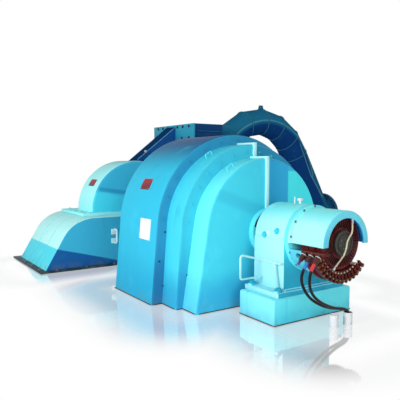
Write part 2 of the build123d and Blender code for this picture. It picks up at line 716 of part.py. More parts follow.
def upper_casing():
    """Half-round upper cover of the turbine, its rims rolled over."""
    drum = disc_y(ARCH_R, ARCH_FRONT_Y, ARCH_REAR_Y)
    return above(SPLIT_TOP, fillet(drum.edges().filter_by(GeomType.CIRCLE), ARCH_EDGE) - shaft_pocket(ARCH_FRONT_Y))


def casing_hub():
    """Round hub on the casing front where the shaft enters."""
    return ring_y(HUB_R, SHAFT_R + SHAFT_CLEARANCE, CASING_FRONT_Y - HUB_PROUD, SPLIT_FRONT_Y)


def shaft_guard():
    """Guard tube round the shaft between the rear bearing and the casing."""
    y0 = REAR_BEARING_Y + BEARING_LENGTH
    return ring_y(GUARD_R, GUARD_R - GUARD_WALL, y0, CASING_FRONT_Y - HUB_PROUD)


def sloped_duct():
    """Duct that climbs from the top of the arch to the box."""
    left = BOX_LEFT - BOX_FLANGE
    arch_top = SHAFT_Z + sqrt(ARCH_R**2 - DUCT_FOOT_X**2)
    outline = Polyline((DUCT_FOOT_X, arch_top), (left, DUCT_TOP), (left, SPLIT_TOP), (DUCT_FOOT_X, SPLIT_TOP),
                       (DUCT_FOOT_X, arch_top))
    duct = along_y(outline, DUCT_FRONT_Y, DUCT_REAR_Y)
    return duct - disc_y(ARCH_R, DUCT_FRONT_Y, DUCT_REAR_Y)


def chamber_wall():
    """Upper and lower corner of the slanted wall that takes the nozzle pipe."""
    angle = radians(NOZZLE_ANGLE)
    low = (CHAMBER_RIGHT + WALL_SLANT * sin(angle), BOX_BOTTOM - WALL_SLANT * cos(angle))
    return (CHAMBER_RIGHT, BOX_BOTTOM), low


def nozzle_chamber():
    """Chamber on the casing's right shoulder that takes the upper nozzle."""
    high, low = chamber_wall()
    left = BOX_LEFT - BOX_FLANGE
    outline = Polyline((left, BOX_BOTTOM), high, low, (CASING_RIGHT, SPLIT_TOP), (left, SPLIT_TOP),
                       (left, BOX_BOTTOM))
    y0, y1 = ARCH_FRONT_Y + CHAMBER_INSET, ARCH_REAR_Y - CHAMBER_INSET
    return along_y(outline, y0, y1) - disc_y(ARCH_R, y0, y1)


def top_box():
    """Box above the nozzle chamber, with a groove along its front."""
    box = slab(BOX_LEFT, BOX_RIGHT, BOX_FRONT_Y, BOX_REAR_Y, BOX_BOTTOM, BOX_TOP)
    z = BOX_BOTTOM + GROOVE_RISE
    return box - slab(BOX_LEFT + GROOVE_START, BOX_RIGHT, BOX_FRONT_Y, BOX_FRONT_Y + GROOVE_DEPTH, z, z + GROOVE)


def box_flange():
    """Face flange on the left side of the box."""
    y0, y1 = BOX_FRONT_Y - BOX_FLANGE_LIP, BOX_REAR_Y + BOX_FLANGE_LIP
    return slab(BOX_LEFT - BOX_FLANGE, BOX_LEFT, y0, y1, BOX_BOTTOM, BOX_TOP)


def station(index):
    """Centre of a bend joint and its tilt from the vertical."""
    angle = radians(BEND_ANGLES[index])
    reach = BEND_REACH[index]
    return (BEND_X + reach * sin(angle), PIPE_Y, BEND_Z + reach * cos(angle)), BEND_ANGLES[index]


def joint_circle(index):
    """Pipe circle at a bend joint, in the plane through the bend centre."""
    centre, tilt = station(index)
    plane = Plane(origin=centre, z_dir=(cos(radians(tilt)), 0, -sin(radians(tilt))))
    return plane * Circle(BEND_PIPE_R[index])


def bend_segment(index):
    """Mitred segment of the bend between two joints."""
    return loft([joint_circle(index), joint_circle(index + 1)])


def nozzle_axis(distance):
    """Frame on the nozzle axis, this far back from the first bend joint."""
    centre, tilt = station(0)
    direction = Vector(cos(radians(tilt)), 0, -sin(radians(tilt)))
    return Plane(origin=Vector(*centre) - direction * distance, z_dir=direction)


def wall_distance():
    """Distance along the nozzle axis from the chamber wall to the first bend joint."""
    centre, tilt = station(0)
    high, _ = chamber_wall()
    angle = radians(-tilt)
    return (centre[0] - high[0]) * cos(angle) + (centre[2] - high[1]) * sin(angle)


def nozzle_flange():
    """Flange pair where the nozzle pipe meets the chamber."""
    return extrude(nozzle_axis(wall_distance()) * Circle(BEND_PIPE_R[0] + PIPE_FLANGE_LIP), PIPE_FLANGE)


def nozzle_pipe():
    """Straight pipe from the flange pair up to the bend."""
    length = wall_distance() - PIPE_FLANGE
    return extrude(nozzle_axis(length) * Circle(BEND_PIPE_R[0]), length)


def drop_axis():
    """Foot of the drop pipe on the inlet axis, and its direction."""
    centre, tilt = station(-1)
    direction = Vector(cos(radians(tilt)), 0, -sin(radians(tilt)))
    travel = (centre[2] - INLET_Z) / sin(radians(tilt))
    return Vector(*centre) + direction * travel, direction, travel


def seam_distance():
    """Distance along the drop from the inlet axis up to the seam of the inlet piece."""
    _, direction, _ = drop_axis()
    return (Y_SEAM_Z - INLET_Z) / -direction.Z


def drop_pipe():
    """Straight pipe from the bend down to the inlet piece."""
    foot_point, direction, travel = drop_axis()
    seam = foot_point - direction * seam_distance()
    return extrude(Plane(origin=seam, z_dir=-direction) * Circle(BEND_PIPE_R[-1]), travel - seam_distance())


def inlet_piece():
    """Y piece that joins the upper branch to the inlet."""
    foot_point, direction, _ = drop_axis()
    face_x = INLET_X - INLET_FLANGE
    stub = extrude(Plane(origin=foot_point, z_dir=-direction) * Circle(BEND_PIPE_R[-1]), seam_distance())
    body = left_of(face_x, disc_x(INLET_R, Y_LEFT_X, face_x) + stub)
    return body - disc_x(INLET_BORE_R, INLET_X - INLET_BORE_DEPTH, INLET_X)


def inlet_flange():
    """Bolted flange at the inlet."""
    x0 = INLET_X - INLET_FLANGE
    flange = disc_x(INLET_FLANGE_R, x0, INLET_X) - disc_x(INLET_BORE_R, x0, INLET_X)
    for index in range(INLET_BOLTS):
        angle = radians(360 * (index + 0.5) / INLET_BOLTS)
        y, z = PIPE_Y + INLET_PCD / 2 * cos(angle), INLET_Z + INLET_PCD / 2 * sin(angle)
        flange -= disc_x(INLET_BOLT_R, x0, INLET_X, y, z)
    return flange


def reducer():
    """Cone from the inlet piece down to the lower branch."""
    ends = [Plane(origin=(x, PIPE_Y, INLET_Z), z_dir=(1, 0, 0)) * Circle(r)
            for x, r in ((REDUCER_X, BEND_PIPE_R[0]), (Y_LEFT_X, INLET_R))]
    return loft(ends)


def lower_branch():
    """Lower branch pipe to the casing's right wall."""
    return disc_x(BEND_PIPE_R[0], CASING_RIGHT + PIPE_FLANGE, REDUCER_X)


def lower_flange():
    """Flange pair where the lower branch meets the casing."""
    return disc_x(BEND_PIPE_R[0] + PIPE_FLANGE_LIP, CASING_RIGHT, CASING_RIGHT + PIPE_FLANGE)


def saddle(x, radius):
    """Floor saddle under a horizontal pipe."""
    block = slab(x - SADDLE_WIDTH / 2, x + SADDLE_WIDTH / 2, PIPE_Y - SADDLE_HALF, PIPE_Y + SADDLE_HALF, 0,
                 INLET_Z - radius * SADDLE_RISE)
    return block - disc_x(radius, x - SADDLE_WIDTH, x + SADDLE_WIDTH)


def lifting_lug():
    """Lifting eye on top of the bend."""
    top = BEND_Z + BEND_REACH[2] + BEND_PIPE_R[2]
    foot_z = top - LUG_SUNK
    outline = Polyline((BEND_X - LUG, foot_z), (BEND_X - LUG / 2, top + LUG), (BEND_X + LUG / 2, top + LUG),
                       (BEND_X + LUG, foot_z), (BEND_X - LUG, foot_z))
    eye = along_y(outline, PIPE_Y - LUG_THICK / 2, PIPE_Y + LUG_THICK / 2)
    eye -= disc_y(LUG_HOLE_R, PIPE_Y - LUG_THICK, PIPE_Y + LUG_THICK, BEND_X, top + LUG / 2)
    return eye - bend_segment(1) - bend_segment(2)


def grab_handle():
    """Bow handle on the front wall of the casing."""
    x, z0, z1 = HANDLE_X, HANDLE_Z, HANDLE_Z + HANDLE_HEIGHT
    out = CASING_FRONT_Y - HANDLE_REACH
    points = [(x, CASING_FRONT_Y, z0), (x, out, z0), (x, out, z1), (x, CASING_FRONT_Y, z1)]
    path = FilletPolyline(*points, radius=HANDLE_BEND)
    return sweep(Plane(origin=points[0], z_dir=path % 0) * Circle(HANDLE_D / 2), path=path)


def main_shaft():
    """Shaft from the collector drum to the turbine."""
    return disc_y(SHAFT_R, DRUM_FRONT_Y, ARCH_FRONT_Y)


def pair(first, second):
    """Two like solids kept as one piece."""
    return Compound(children=[first, second])


def build():
    """Every piece of the set, by name."""
    rear_plinth_y = REAR_BEARING_Y - (PLINTH_LENGTH - BEARING_LENGTH) / 2
    rear_foot_y = REAR_BEARING_Y - (FOOT_LENGTH - BEARING_LENGTH) / 2
    pieces = {
        "main_hood": main_hood(), "left_step_2": left_step_2(), "left_step_3": left_step_3(),
        "right_step_2": right_step_2(), "right_step_3": right_step_3(),
        "split_flanges": pair(split_flange_2(), split_flange_3()), "seal_ring": seal_ring(),
        "front_plinth": plinth(FRONT_PLINTH_Y), "front_foot": foot(FRONT_BEARING_Y - FOOT_AHEAD),
        "front_pedestal": pedestal(FRONT_BEARING_Y), "front_bearing_cap": bearing_cap(FRONT_BEARING_Y),
        "rear_plinth": plinth(rear_plinth_y), "rear_foot": foot(rear_foot_y),
        "rear_pedestal": pedestal(REAR_BEARING_Y), "rear_bearing_cap": bearing_cap(REAR_BEARING_Y),
        "bearing_liners": pair(bearing_liner(FRONT_BEARING_Y), bearing_liner(REAR_BEARING_Y)),
        "end_cover": end_cover(),
        "collector_hood": collector_hood(), "brush_bracket": brush_bracket(), "brush_ring": brush_ring(),
        "brush_holders": brush_holders(), "terminal_board": terminal_board(),
        "terminal_boots": terminal_boots(), "earth_lugs": earth_lugs(),
        "lead_1": lead_1(), "lead_2": lead_2(), "earth_lead": earth_lead(),
        "conduits": pair(conduit(CONDUITS[0]), conduit(CONDUITS[1])),
        "oil_pipe": oil_pipe(), "level_gauge": level_gauge(), "oil_cup": oil_cup(),
        "main_shaft": main_shaft(), "collector_drum": collector_drum(), "end_disc": end_disc(),
        "base_plate": base_plate(), "discharge_chute": discharge_chute(), "lower_casing": lower_casing(),
        "casing_split": casing_split(), "upper_casing": upper_casing(), "casing_hub": casing_hub(),
        "shaft_guard": shaft_guard(), "grab_handle": grab_handle(),
        "sloped_duct": sloped_duct(), "nozzle_chamber": nozzle_chamber(),
        "top_box": top_box(), "box_flange": box_flange(),
        "nozzle_pipe": nozzle_pipe(), "drop_pipe": drop_pipe(),
        "inlet_piece": inlet_piece(), "inlet_flange": inlet_flange(), "reducer": reducer(),
        "lower_branch": lower_branch(), "pipe_flanges": pair(nozzle_flange(), lower_flange()),
        "saddles": pair(saddle(SADDLE_X[0], BEND_PIPE_R[0]), saddle(SADDLE_X[1], INLET_R)),
        "lifting_lug": lifting_lug(),
    }
    for index in range(len(BEND_ANGLES) - 1):
        pieces[f"bend_{index + 1}"] = bend_segment(index)
    return pieces


os.makedirs("parts", exist_ok=True)
for piece_name, piece in build().items():
    export_step(piece, f"parts/{piece_name}.step")
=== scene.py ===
"""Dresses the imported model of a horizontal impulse-turbine generator set, and lights it for one view."""

import logging
import math
from dataclasses import dataclass
from enum import Enum
from functools import cache
from typing import Any, Callable, Mapping, Optional, Sequence, Union

import bmesh
import bpy
from mathutils import Matrix, Vector


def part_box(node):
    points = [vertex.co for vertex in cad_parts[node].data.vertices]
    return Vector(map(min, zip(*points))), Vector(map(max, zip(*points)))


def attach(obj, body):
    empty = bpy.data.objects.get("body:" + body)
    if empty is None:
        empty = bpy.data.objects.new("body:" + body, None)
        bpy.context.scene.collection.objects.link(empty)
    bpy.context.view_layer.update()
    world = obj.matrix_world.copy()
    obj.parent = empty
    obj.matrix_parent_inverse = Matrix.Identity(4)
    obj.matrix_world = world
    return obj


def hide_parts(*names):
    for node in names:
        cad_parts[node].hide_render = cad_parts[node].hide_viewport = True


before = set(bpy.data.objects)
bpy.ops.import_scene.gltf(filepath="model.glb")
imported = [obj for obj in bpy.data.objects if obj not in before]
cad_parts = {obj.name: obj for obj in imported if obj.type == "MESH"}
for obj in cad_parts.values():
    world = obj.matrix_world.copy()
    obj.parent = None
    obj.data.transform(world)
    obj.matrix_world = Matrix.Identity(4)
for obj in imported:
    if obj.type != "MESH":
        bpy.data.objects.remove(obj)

Point = tuple[float, float, float]
Flat = tuple[float, float]
Colour = tuple[float, float, float]
Loop = list[Flat]
Values = Optional[Mapping[Any, Any]]
Shape = bmesh.types.BMesh
Mesh = bpy.types.Mesh
Piece = bpy.types.Object

LOG = logging.getLogger("generator_set")
SHAFT_Z = 0.82
FULL_TURN = 360.0
QUARTER = math.pi / 2
UP = (0.0, 0.0, 1.0)
ALONG = (0.0, 1.0, 0.0)
FORWARD = (0.0, -1.0, 0.0)


class Body(Enum):
    """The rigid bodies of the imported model."""

    MACHINE = "machine"
    ROTOR = "rotor"


class Side(Enum):
    """The two bearings along the shaft."""

    FRONT = "front"
    REAR = "rear"


class Slot(Enum):
    """The record's finishes."""

    PAINT = "turquoise_paint"
    PLINTH = "plinth_paint"
    PIPE = "pipe_paint"
    STEEL = "bright_steel"
    SHAFT = "shaft_steel"
    BEARING = "bearing_metal"
    DRUM = "insulated_drum"
    RUBBER = "boot_rubber"
    PLASTIC = "conduit_plastic"
    BLACK_CABLE = "cable_black"
    CREAM_CABLE = "cable_cream"


class Stiffness(Enum):
    """How stiff a cord is."""

    MEDIUM = "medium"
    STIFF = "stiff"


# Shader nodes


class NodeTree:
    """A node tree, with one way to add any node to it."""

    def __init__(self, tree: bpy.types.NodeTree) -> None:
        """Keeps the tree."""
        self.tree = tree

    def node(self, kind: str, settings: Values = None, sockets: Values = None) -> bpy.types.Node:
        """Adds any node.

        Args:
            kind: the node's type.
            settings: properties, which are set first.
            sockets: values, signals or sockets to link from, by the input's name or index.

        Returns:
            The node.
        """
        made = self.tree.nodes.new(kind)
        for key, value in (settings or {}).items():
            setattr(made, key, value)
        for key, value in (sockets or {}).items():
            source = value.socket if isinstance(value, Signal) else value
            if isinstance(source, bpy.types.NodeSocket):
                self.tree.links.new(source, made.inputs[key])
            else:
                made.inputs[key].default_value = source
        return made


class Signal:
    """A shader socket that arithmetic can be written on."""

    def __init__(self, graph: "Graph", socket: bpy.types.NodeSocket) -> None:
        """Keeps the socket and the graph that it belongs to."""
        self.graph = graph
        self.socket = socket

    def _math(self, operation: str, *values: Any) -> "Signal":
        """Result of a Math node on values or signals."""
        return self.graph.signal("ShaderNodeMath", {"operation": operation}, dict(enumerate(values)))

    def __add__(self, other: Any) -> "Signal":
        """Sum."""
        return self._math("ADD", self, other)

    __radd__ = __add__

    def __mul__(self, other: Any) -> "Signal":
        """Product."""
        return self._math("MULTIPLY", self, other)

    __rmul__ = __mul__

    def __sub__(self, other: Any) -> "Signal":
        """Difference."""
        return self._math("SUBTRACT", self, other)

    def __rsub__(self, other: Any) -> "Signal":
        """Reflected difference."""
        return self._math("SUBTRACT", other, self)

    def __abs__(self) -> "Signal":
        """Value without its sign."""
        return self.at_least(0.0 - self)

    def at_least(self, other: Any) -> "Signal":
        """The larger of this and another value."""
        return self._math("MAXIMUM", self, other)

    def at_most(self, other: Any) -> "Signal":
        """The smaller of this and another value."""
        return self._math("MINIMUM", self, other)

    def across(self, other: "Signal") -> "Signal":
        """Length of two offsets at a right angle."""
        return self._math("SQRT", self * self + other * other)

    def ramp(self, low: float, high: float) -> "Signal":
        """Smooth step.

        Args:
            low: where the step is 0.
            high: where it is 1, above or below low.

        Returns:
            A signal from 0 to 1.
        """
        turned = low > high
        start, end = (high, low) if turned else (low, high)
        step = self.graph.signal("ShaderNodeMapRange", {"interpolation_type": "SMOOTHSTEP"},
                                 {"Value": self, "From Min": start, "From Max": end})
        return 1.0 - step if turned else step


def with_alpha(value: Any) -> Any:
    """A colour with an alpha of 1, and any other value as it is."""
    return (*value, 1.0) if isinstance(value, tuple) and len(value) == 3 else value


class Graph(NodeTree):
    """The node tree of one material or world."""

    def __init__(self, owner: Union[bpy.types.Material, bpy.types.World]) -> None:
        """Starts an empty tree.

        Args:
            owner: the material or world that the tree belongs to.
        """
        owner.use_nodes = True
        super().__init__(owner.node_tree)
        self.owner = owner
        self.tree.nodes.clear()

    def signal(self, kind: str, settings: Values = None, sockets: Values = None, output: Any = 0) -> Signal:
        """Adds a node and gives one of its outputs, by name or index."""
        return Signal(self, self.node(kind, settings, sockets).outputs[output])

    def place(self) -> Signal:
        """Position in the object's own coordinates."""
        return self.signal("ShaderNodeTexCoord", output="Object")

    def parts(self, vector: Signal) -> tuple[Signal, ...]:
        """The three numbers of a vector."""
        split = self.node("ShaderNodeSeparateXYZ", None, {0: vector})
        return tuple(Signal(self, part) for part in split.outputs)

    def stretched(self, vector: Signal, scale: Point) -> Signal:
        """Position scaled differently along each axis."""
        return self.signal("ShaderNodeMapping", None, {"Vector": vector, "Scale": scale})

    def noise(self, vector: Signal, scale: float, detail: float, rough: float = 0.5) -> Signal:
        """Fractal noise from 0 to 1, with a scale in features to the metre and a detail in octaves."""
        return self.signal("ShaderNodeTexNoise", None,
                           {"Vector": vector, "Scale": scale, "Detail": detail, "Roughness": rough})

    def blend(self, first: Any, second: Any, factor: Any) -> Signal:
        """Mixes two colours by the second one's share."""
        return self.signal("ShaderNodeMix", {"data_type": "RGBA"},
                           {0: factor, 6: with_alpha(first), 7: with_alpha(second)}, output=2)

    def bump(self, height: Signal, distance: float, strength: float) -> Signal:
        """Bump from a height in shares of a distance in metres."""
        return self.signal("ShaderNodeBump", None,
                           {"Height": height, "Distance": distance, "Strength": strength})

    def close(self, shader: bpy.types.Node, kind: str = "ShaderNodeOutputMaterial") -> None:
        """Links a shader to an output of the tree."""
        self.node(kind, None, {"Surface": shader.outputs[0]})

    def finish(self, sockets: Mapping[str, Any]) -> bpy.types.Material:
        """Closes the tree with a Principled shader and gives its material."""
        values = {key: with_alpha(value) for key, value in sockets.items()}
        self.close(self.node("ShaderNodeBsdfPrincipled", None, values))
        return self.owner


# Finishes


@dataclass(frozen=True)
class Wear:
    """A noise, and the levels of it between which a mark of wear sets in."""

    scale: float
    detail: float
    start: float
    full: float
    share: float = 1.0
    rough: float = 0.5

    def noise(self, graph: Graph, place: Signal) -> Signal:
        """The noise at each place."""
        return graph.noise(place, self.scale, self.detail, self.rough)

    def cover(self, noise: Signal) -> Signal:
        """Share of the mark, from its noise."""
        mark = noise.ramp(self.start, self.full)
        return mark if self.share == 1.0 else mark * self.share


@dataclass(frozen=True)
class Division:
    """A line on the X-Z plane under which the coat is deeper: a painted cast shadow."""

    level: float
    start_x: float
    slope: float
    wander: float = 0.02
    edge: float = 0.012

    def cover(self, x: Signal, z: Signal, cloud: Signal) -> Signal:
        """Share of the painted shadow at each place, whose line wanders with a noise about 0."""
        line = (self.level - (x - self.start_x) * self.slope).at_most(self.level)
        return (line + cloud * self.wander - z).ramp(-self.edge, self.edge)


@dataclass(frozen=True)
class Crown:
    """Another colour towards the top of an arch: painted light and shade on the crown."""

    colour: Colour
    start: float
    end: float


@dataclass(frozen=True)
class Band:
    """A soft band of another colour along a line on the X-Z plane, for painted shadows and painted
    highlights.
    """

    colour: Colour
    start: Flat
    end: Flat
    half: float
    soft: float
    share: float = 1.0

    def cover(self, x: Signal, z: Signal) -> Signal:
        """Share of the band at each place.

        Args:
            x: position across.
            z: position up.

        Returns:
            A signal from 0 to the band's share.
        """
        run = Vector(self.end) - Vector(self.start)
        way = run.normalized()
        off_x, off_z = x - self.start[0], z - self.start[1]
        side = off_x * (-way.y) + off_z * way.x
        along = off_x * way.x + off_z * way.y
        across = abs(side).ramp(self.half + self.soft, self.half)
        ends = along.ramp(-self.soft, self.soft) * along.ramp(run.length + self.soft, run.length - self.soft)
        return across * ends * self.share


@dataclass(frozen=True)
class Arc:
    """A deeper zone inside an arc on the X-Z plane, painted shade, with a painted highlight line along the
    arc.
    """

    colour: Colour
    # line: colour of the painted highlight along the arc.
    line: Colour
    centre: Flat
    radius: float
    soft: float = 0.1
    line_half: float = 0.018
    line_core: float = 0.005
    line_share: float = 0.7

    def paint(self, graph: Graph, colour: Signal, x: Signal, z: Signal) -> Signal:
        """Lays the painted shade zone and its painted highlight line over a colour.

        Args:
            graph: the material's tree.
            colour: the colour under it.
            x: position across.
            z: position up.

        Returns:
            The painted colour.
        """
        reach = (x - self.centre[0]).across(z - self.centre[1]) - self.radius
        colour = graph.blend(colour, self.colour, reach.ramp(0.0, -self.soft))
        line = abs(reach).ramp(self.line_half, self.line_core) * self.line_share
        return graph.blend(colour, self.line, line)


@dataclass(frozen=True)
class Enamel:
    """Brushed-on machine enamel over sheet or cast metal."""

    colour: Colour
    # deep is the colour below low, fading out by high, or under the painted shadow line: painted light and
    # shade, darker on most tones and paler on the arch's front; the random clouds and the paint runs use it
    # too.
    deep: Colour
    low: float = 0.0
    high: float = 0.5
    rough: float = 0.36
    coat: float = 0.03
    gloss: float = 0.07
    # The next four lay painted light and shade over the colour.
    division: Optional[Division] = None
    crown: Optional[Crown] = None
    bands: tuple[Band, ...] = ()
    arc: Optional[Arc] = None
    cloud: Wear = Wear(1.3, 3.0, 0.5, 0.8, 0.25)
    cloud_sway: float = 0.5
    fall_share: float = 0.8
    runs: Wear = Wear(1.0, 4.0, 0.58, 0.8, 0.28)
    run_stretch: Point = (9.0, 9.0, 0.7)
    run_dark: float = 0.72
    bloom: Wear = Wear(3.2, 5.0, 0.55, 0.8, 0.3, rough=0.6)
    bloom_gain: float = 1.22
    bloom_lift: float = 0.03
    bloom_rough: float = 0.16
    specks: Wear = Wear(46.0, 2.0, 0.74, 0.79, 0.35)
    speck_colour: Colour = (0.02, 0.06, 0.09)
    dust: Wear = Wear(7.0, 4.0, 0.35, 0.7)
    dust_top: float = 0.16
    dust_share: float = 0.35
    dust_rough: float = 0.3
    dust_colour: Colour = (0.16, 0.2, 0.21)
    coat_rough: float = 0.12
    relief: tuple[Flat, Flat] = ((190.0, 0.25), (2.1, 3.0))
    relief_detail: float = 2.0
    bump_depth: float = 0.0012
    bump_strength: float = 0.6

    def depth(self, graph: Graph, place: Signal, x: Signal, z: Signal) -> Signal:
        """Share of the deeper colour at each place: painted light and shade towards the bottom, or under a
        painted shadow line, with random clouds.

        Args:
            graph: the material's tree.
            place: position.
            x: position across.
            z: position up.

        Returns:
            A signal from 0 to 1.
        """
        cloud = self.cloud.noise(graph, place)
        if self.division:
            return self.division.cover(x, z, cloud - 0.5)
        fall = (z + (cloud - 0.5) * self.cloud_sway).ramp(self.high, self.low)
        return (fall * self.fall_share + self.cloud.cover(cloud)).at_most(1.0)

    def build(self, name: str) -> bpy.types.Material:
        """Makes the material: clouded colour over painted light and shade, runs, specks and a slightly wavy
        coat.

        Args:
            name: its name.

        Returns:
            The material.
        """
        graph = Graph(bpy.data.materials.new(name))
        place = graph.place()
        x, _, z = graph.parts(place)
        # Painted light and shade: the fall towards the bottom, the shadow line, the arc, the bands and the
        # crown.
        colour = graph.blend(self.colour, self.deep, self.depth(graph, place, x, z))
        if self.arc:
            colour = self.arc.paint(graph, colour, x, z)
        # Painted shadow and highlight bands.
        for band in self.bands:
            colour = graph.blend(colour, band.colour, band.cover(x, z))
        if self.crown:
            colour = graph.blend(colour, self.crown.colour, z.ramp(self.crown.start, self.crown.end))
        runs = self.runs.noise(graph, graph.stretched(place, self.run_stretch))
        colour = graph.blend(colour, tuple(c * self.run_dark for c in self.deep), self.runs.cover(runs))
        bloom = self.bloom.noise(graph, place)
        pale = tuple(min(1.0, c * self.bloom_gain + self.bloom_lift) for c in self.colour)
        colour = graph.blend(colour, pale, self.bloom.cover(bloom))
        colour = graph.blend(colour, self.speck_colour, self.specks.cover(self.specks.noise(graph, place)))
        dust = z.ramp(self.dust_top, 0.0) * self.dust.cover(self.dust.noise(graph, place))
        colour = graph.blend(colour, self.dust_colour, dust * self.dust_share)
        fine, wide = (graph.noise(place, scale, self.relief_detail) * height
                      for scale, height in self.relief)
        return graph.finish({
            "Base Color": colour,
            "Roughness": self.rough + bloom * self.bloom_rough + dust * self.dust_rough,
            "Specular IOR Level": self.gloss,
            "Coat Weight": self.coat * (1.0 - dust) if self.coat else 0.0,
            "Coat Roughness": self.coat_rough,
            "Normal": graph.bump(fine + wide, self.bump_depth, self.bump_strength),
        })


@dataclass(frozen=True)
class Metal:
    """Bare metal with turning or brushing lines and a few stains."""

    colour: Colour
    stain: Colour
    grain: Point
    rough: float = 0.34
    lines: Wear = Wear(1.0, 4.0, 0.5, 0.8, 0.4, rough=0.6)
    line_dark: float = 0.6
    line_rough: float = 0.16
    stains: Wear = Wear(24.0, 4.0, 0.48, 0.72, 0.6)
    stain_rough: float = 0.1
    metallic: float = 0.92
    dulled: tuple[float, float, float] = (0.5, 0.8, 0.25)
    bump_depth: float = 0.0004
    bump_strength: float = 0.7

    def build(self, name: str) -> bpy.types.Material:
        """Makes the material.

        Args:
            name: its name.

        Returns:
            The material.
        """
        graph = Graph(bpy.data.materials.new(name))
        place = graph.place()
        lines = self.lines.noise(graph, graph.stretched(place, self.grain))
        stains = self.stains.noise(graph, place)
        colour = graph.blend(self.colour, self.stain, self.stains.cover(stains))
        colour = graph.blend(colour, tuple(c * self.line_dark for c in self.colour), self.lines.cover(lines))
        start, full, loss = self.dulled
        return graph.finish({
            "Base Color": colour,
            "Metallic": self.metallic - stains.ramp(start, full) * loss,
            "Roughness": self.rough + lines * self.line_rough + stains * self.stain_rough,
            "Normal": graph.bump(lines, self.bump_depth, self.bump_strength),
        })


@dataclass(frozen=True)
class Coating:
    """Varnish, rubber or plastic: a mottled body under a gloss of its own."""

    colour: Colour
    mottle: Colour
    scale: float
    rough: float
    coat: float = 0.0
    grain: float = 220.0
    dust: float = 0.12
    gloss: float = 0.4
    patch_detail: float = 4.0
    patch_octaves: float = 0.6
    patch_levels: Flat = (0.42, 0.7)
    patch_rough: float = 0.14
    grain_detail: float = 3.0
    grain_rough: float = 0.06
    dust_levels: Flat = (0.62, 0.85)
    dust_colour: Colour = (0.3, 0.3, 0.28)
    worn_levels: Flat = (0.6, 0.9)
    worn_share: float = 0.5
    coat_rough: float = 0.08
    bump_depth: float = 0.0004
    bump_strength: float = 0.5

    def build(self, name: str) -> bpy.types.Material:
        """Makes the material.

        Args:
            name: its name.

        Returns:
            The material.
        """
        graph = Graph(bpy.data.materials.new(name))
        place = graph.place()
        patch = graph.noise(place, self.scale, self.patch_detail, self.patch_octaves)
        fine = graph.noise(place, self.grain, self.grain_detail)
        colour = graph.blend(self.colour, self.mottle, patch.ramp(*self.patch_levels))
        colour = graph.blend(colour, self.dust_colour, fine.ramp(*self.dust_levels) * self.dust)
        worn = patch.ramp(*self.worn_levels) * self.worn_share
        return graph.finish({
            "Base Color": colour,
            "Roughness": self.rough + patch * self.patch_rough + fine * self.grain_rough,
            "Specular IOR Level": self.gloss,
            "Coat Weight": self.coat * (1.0 - worn) if self.coat else 0.0,
            "Coat Roughness": self.coat_rough,
            "Normal": graph.bump(fine, self.bump_depth, self.bump_strength),
        })


# Painted cast shadow across the chute's slope and the casing's front wall.
CHUTE_SHADOW_LINE = Division(level=0.33, start_x=-1.496, slope=0.276)


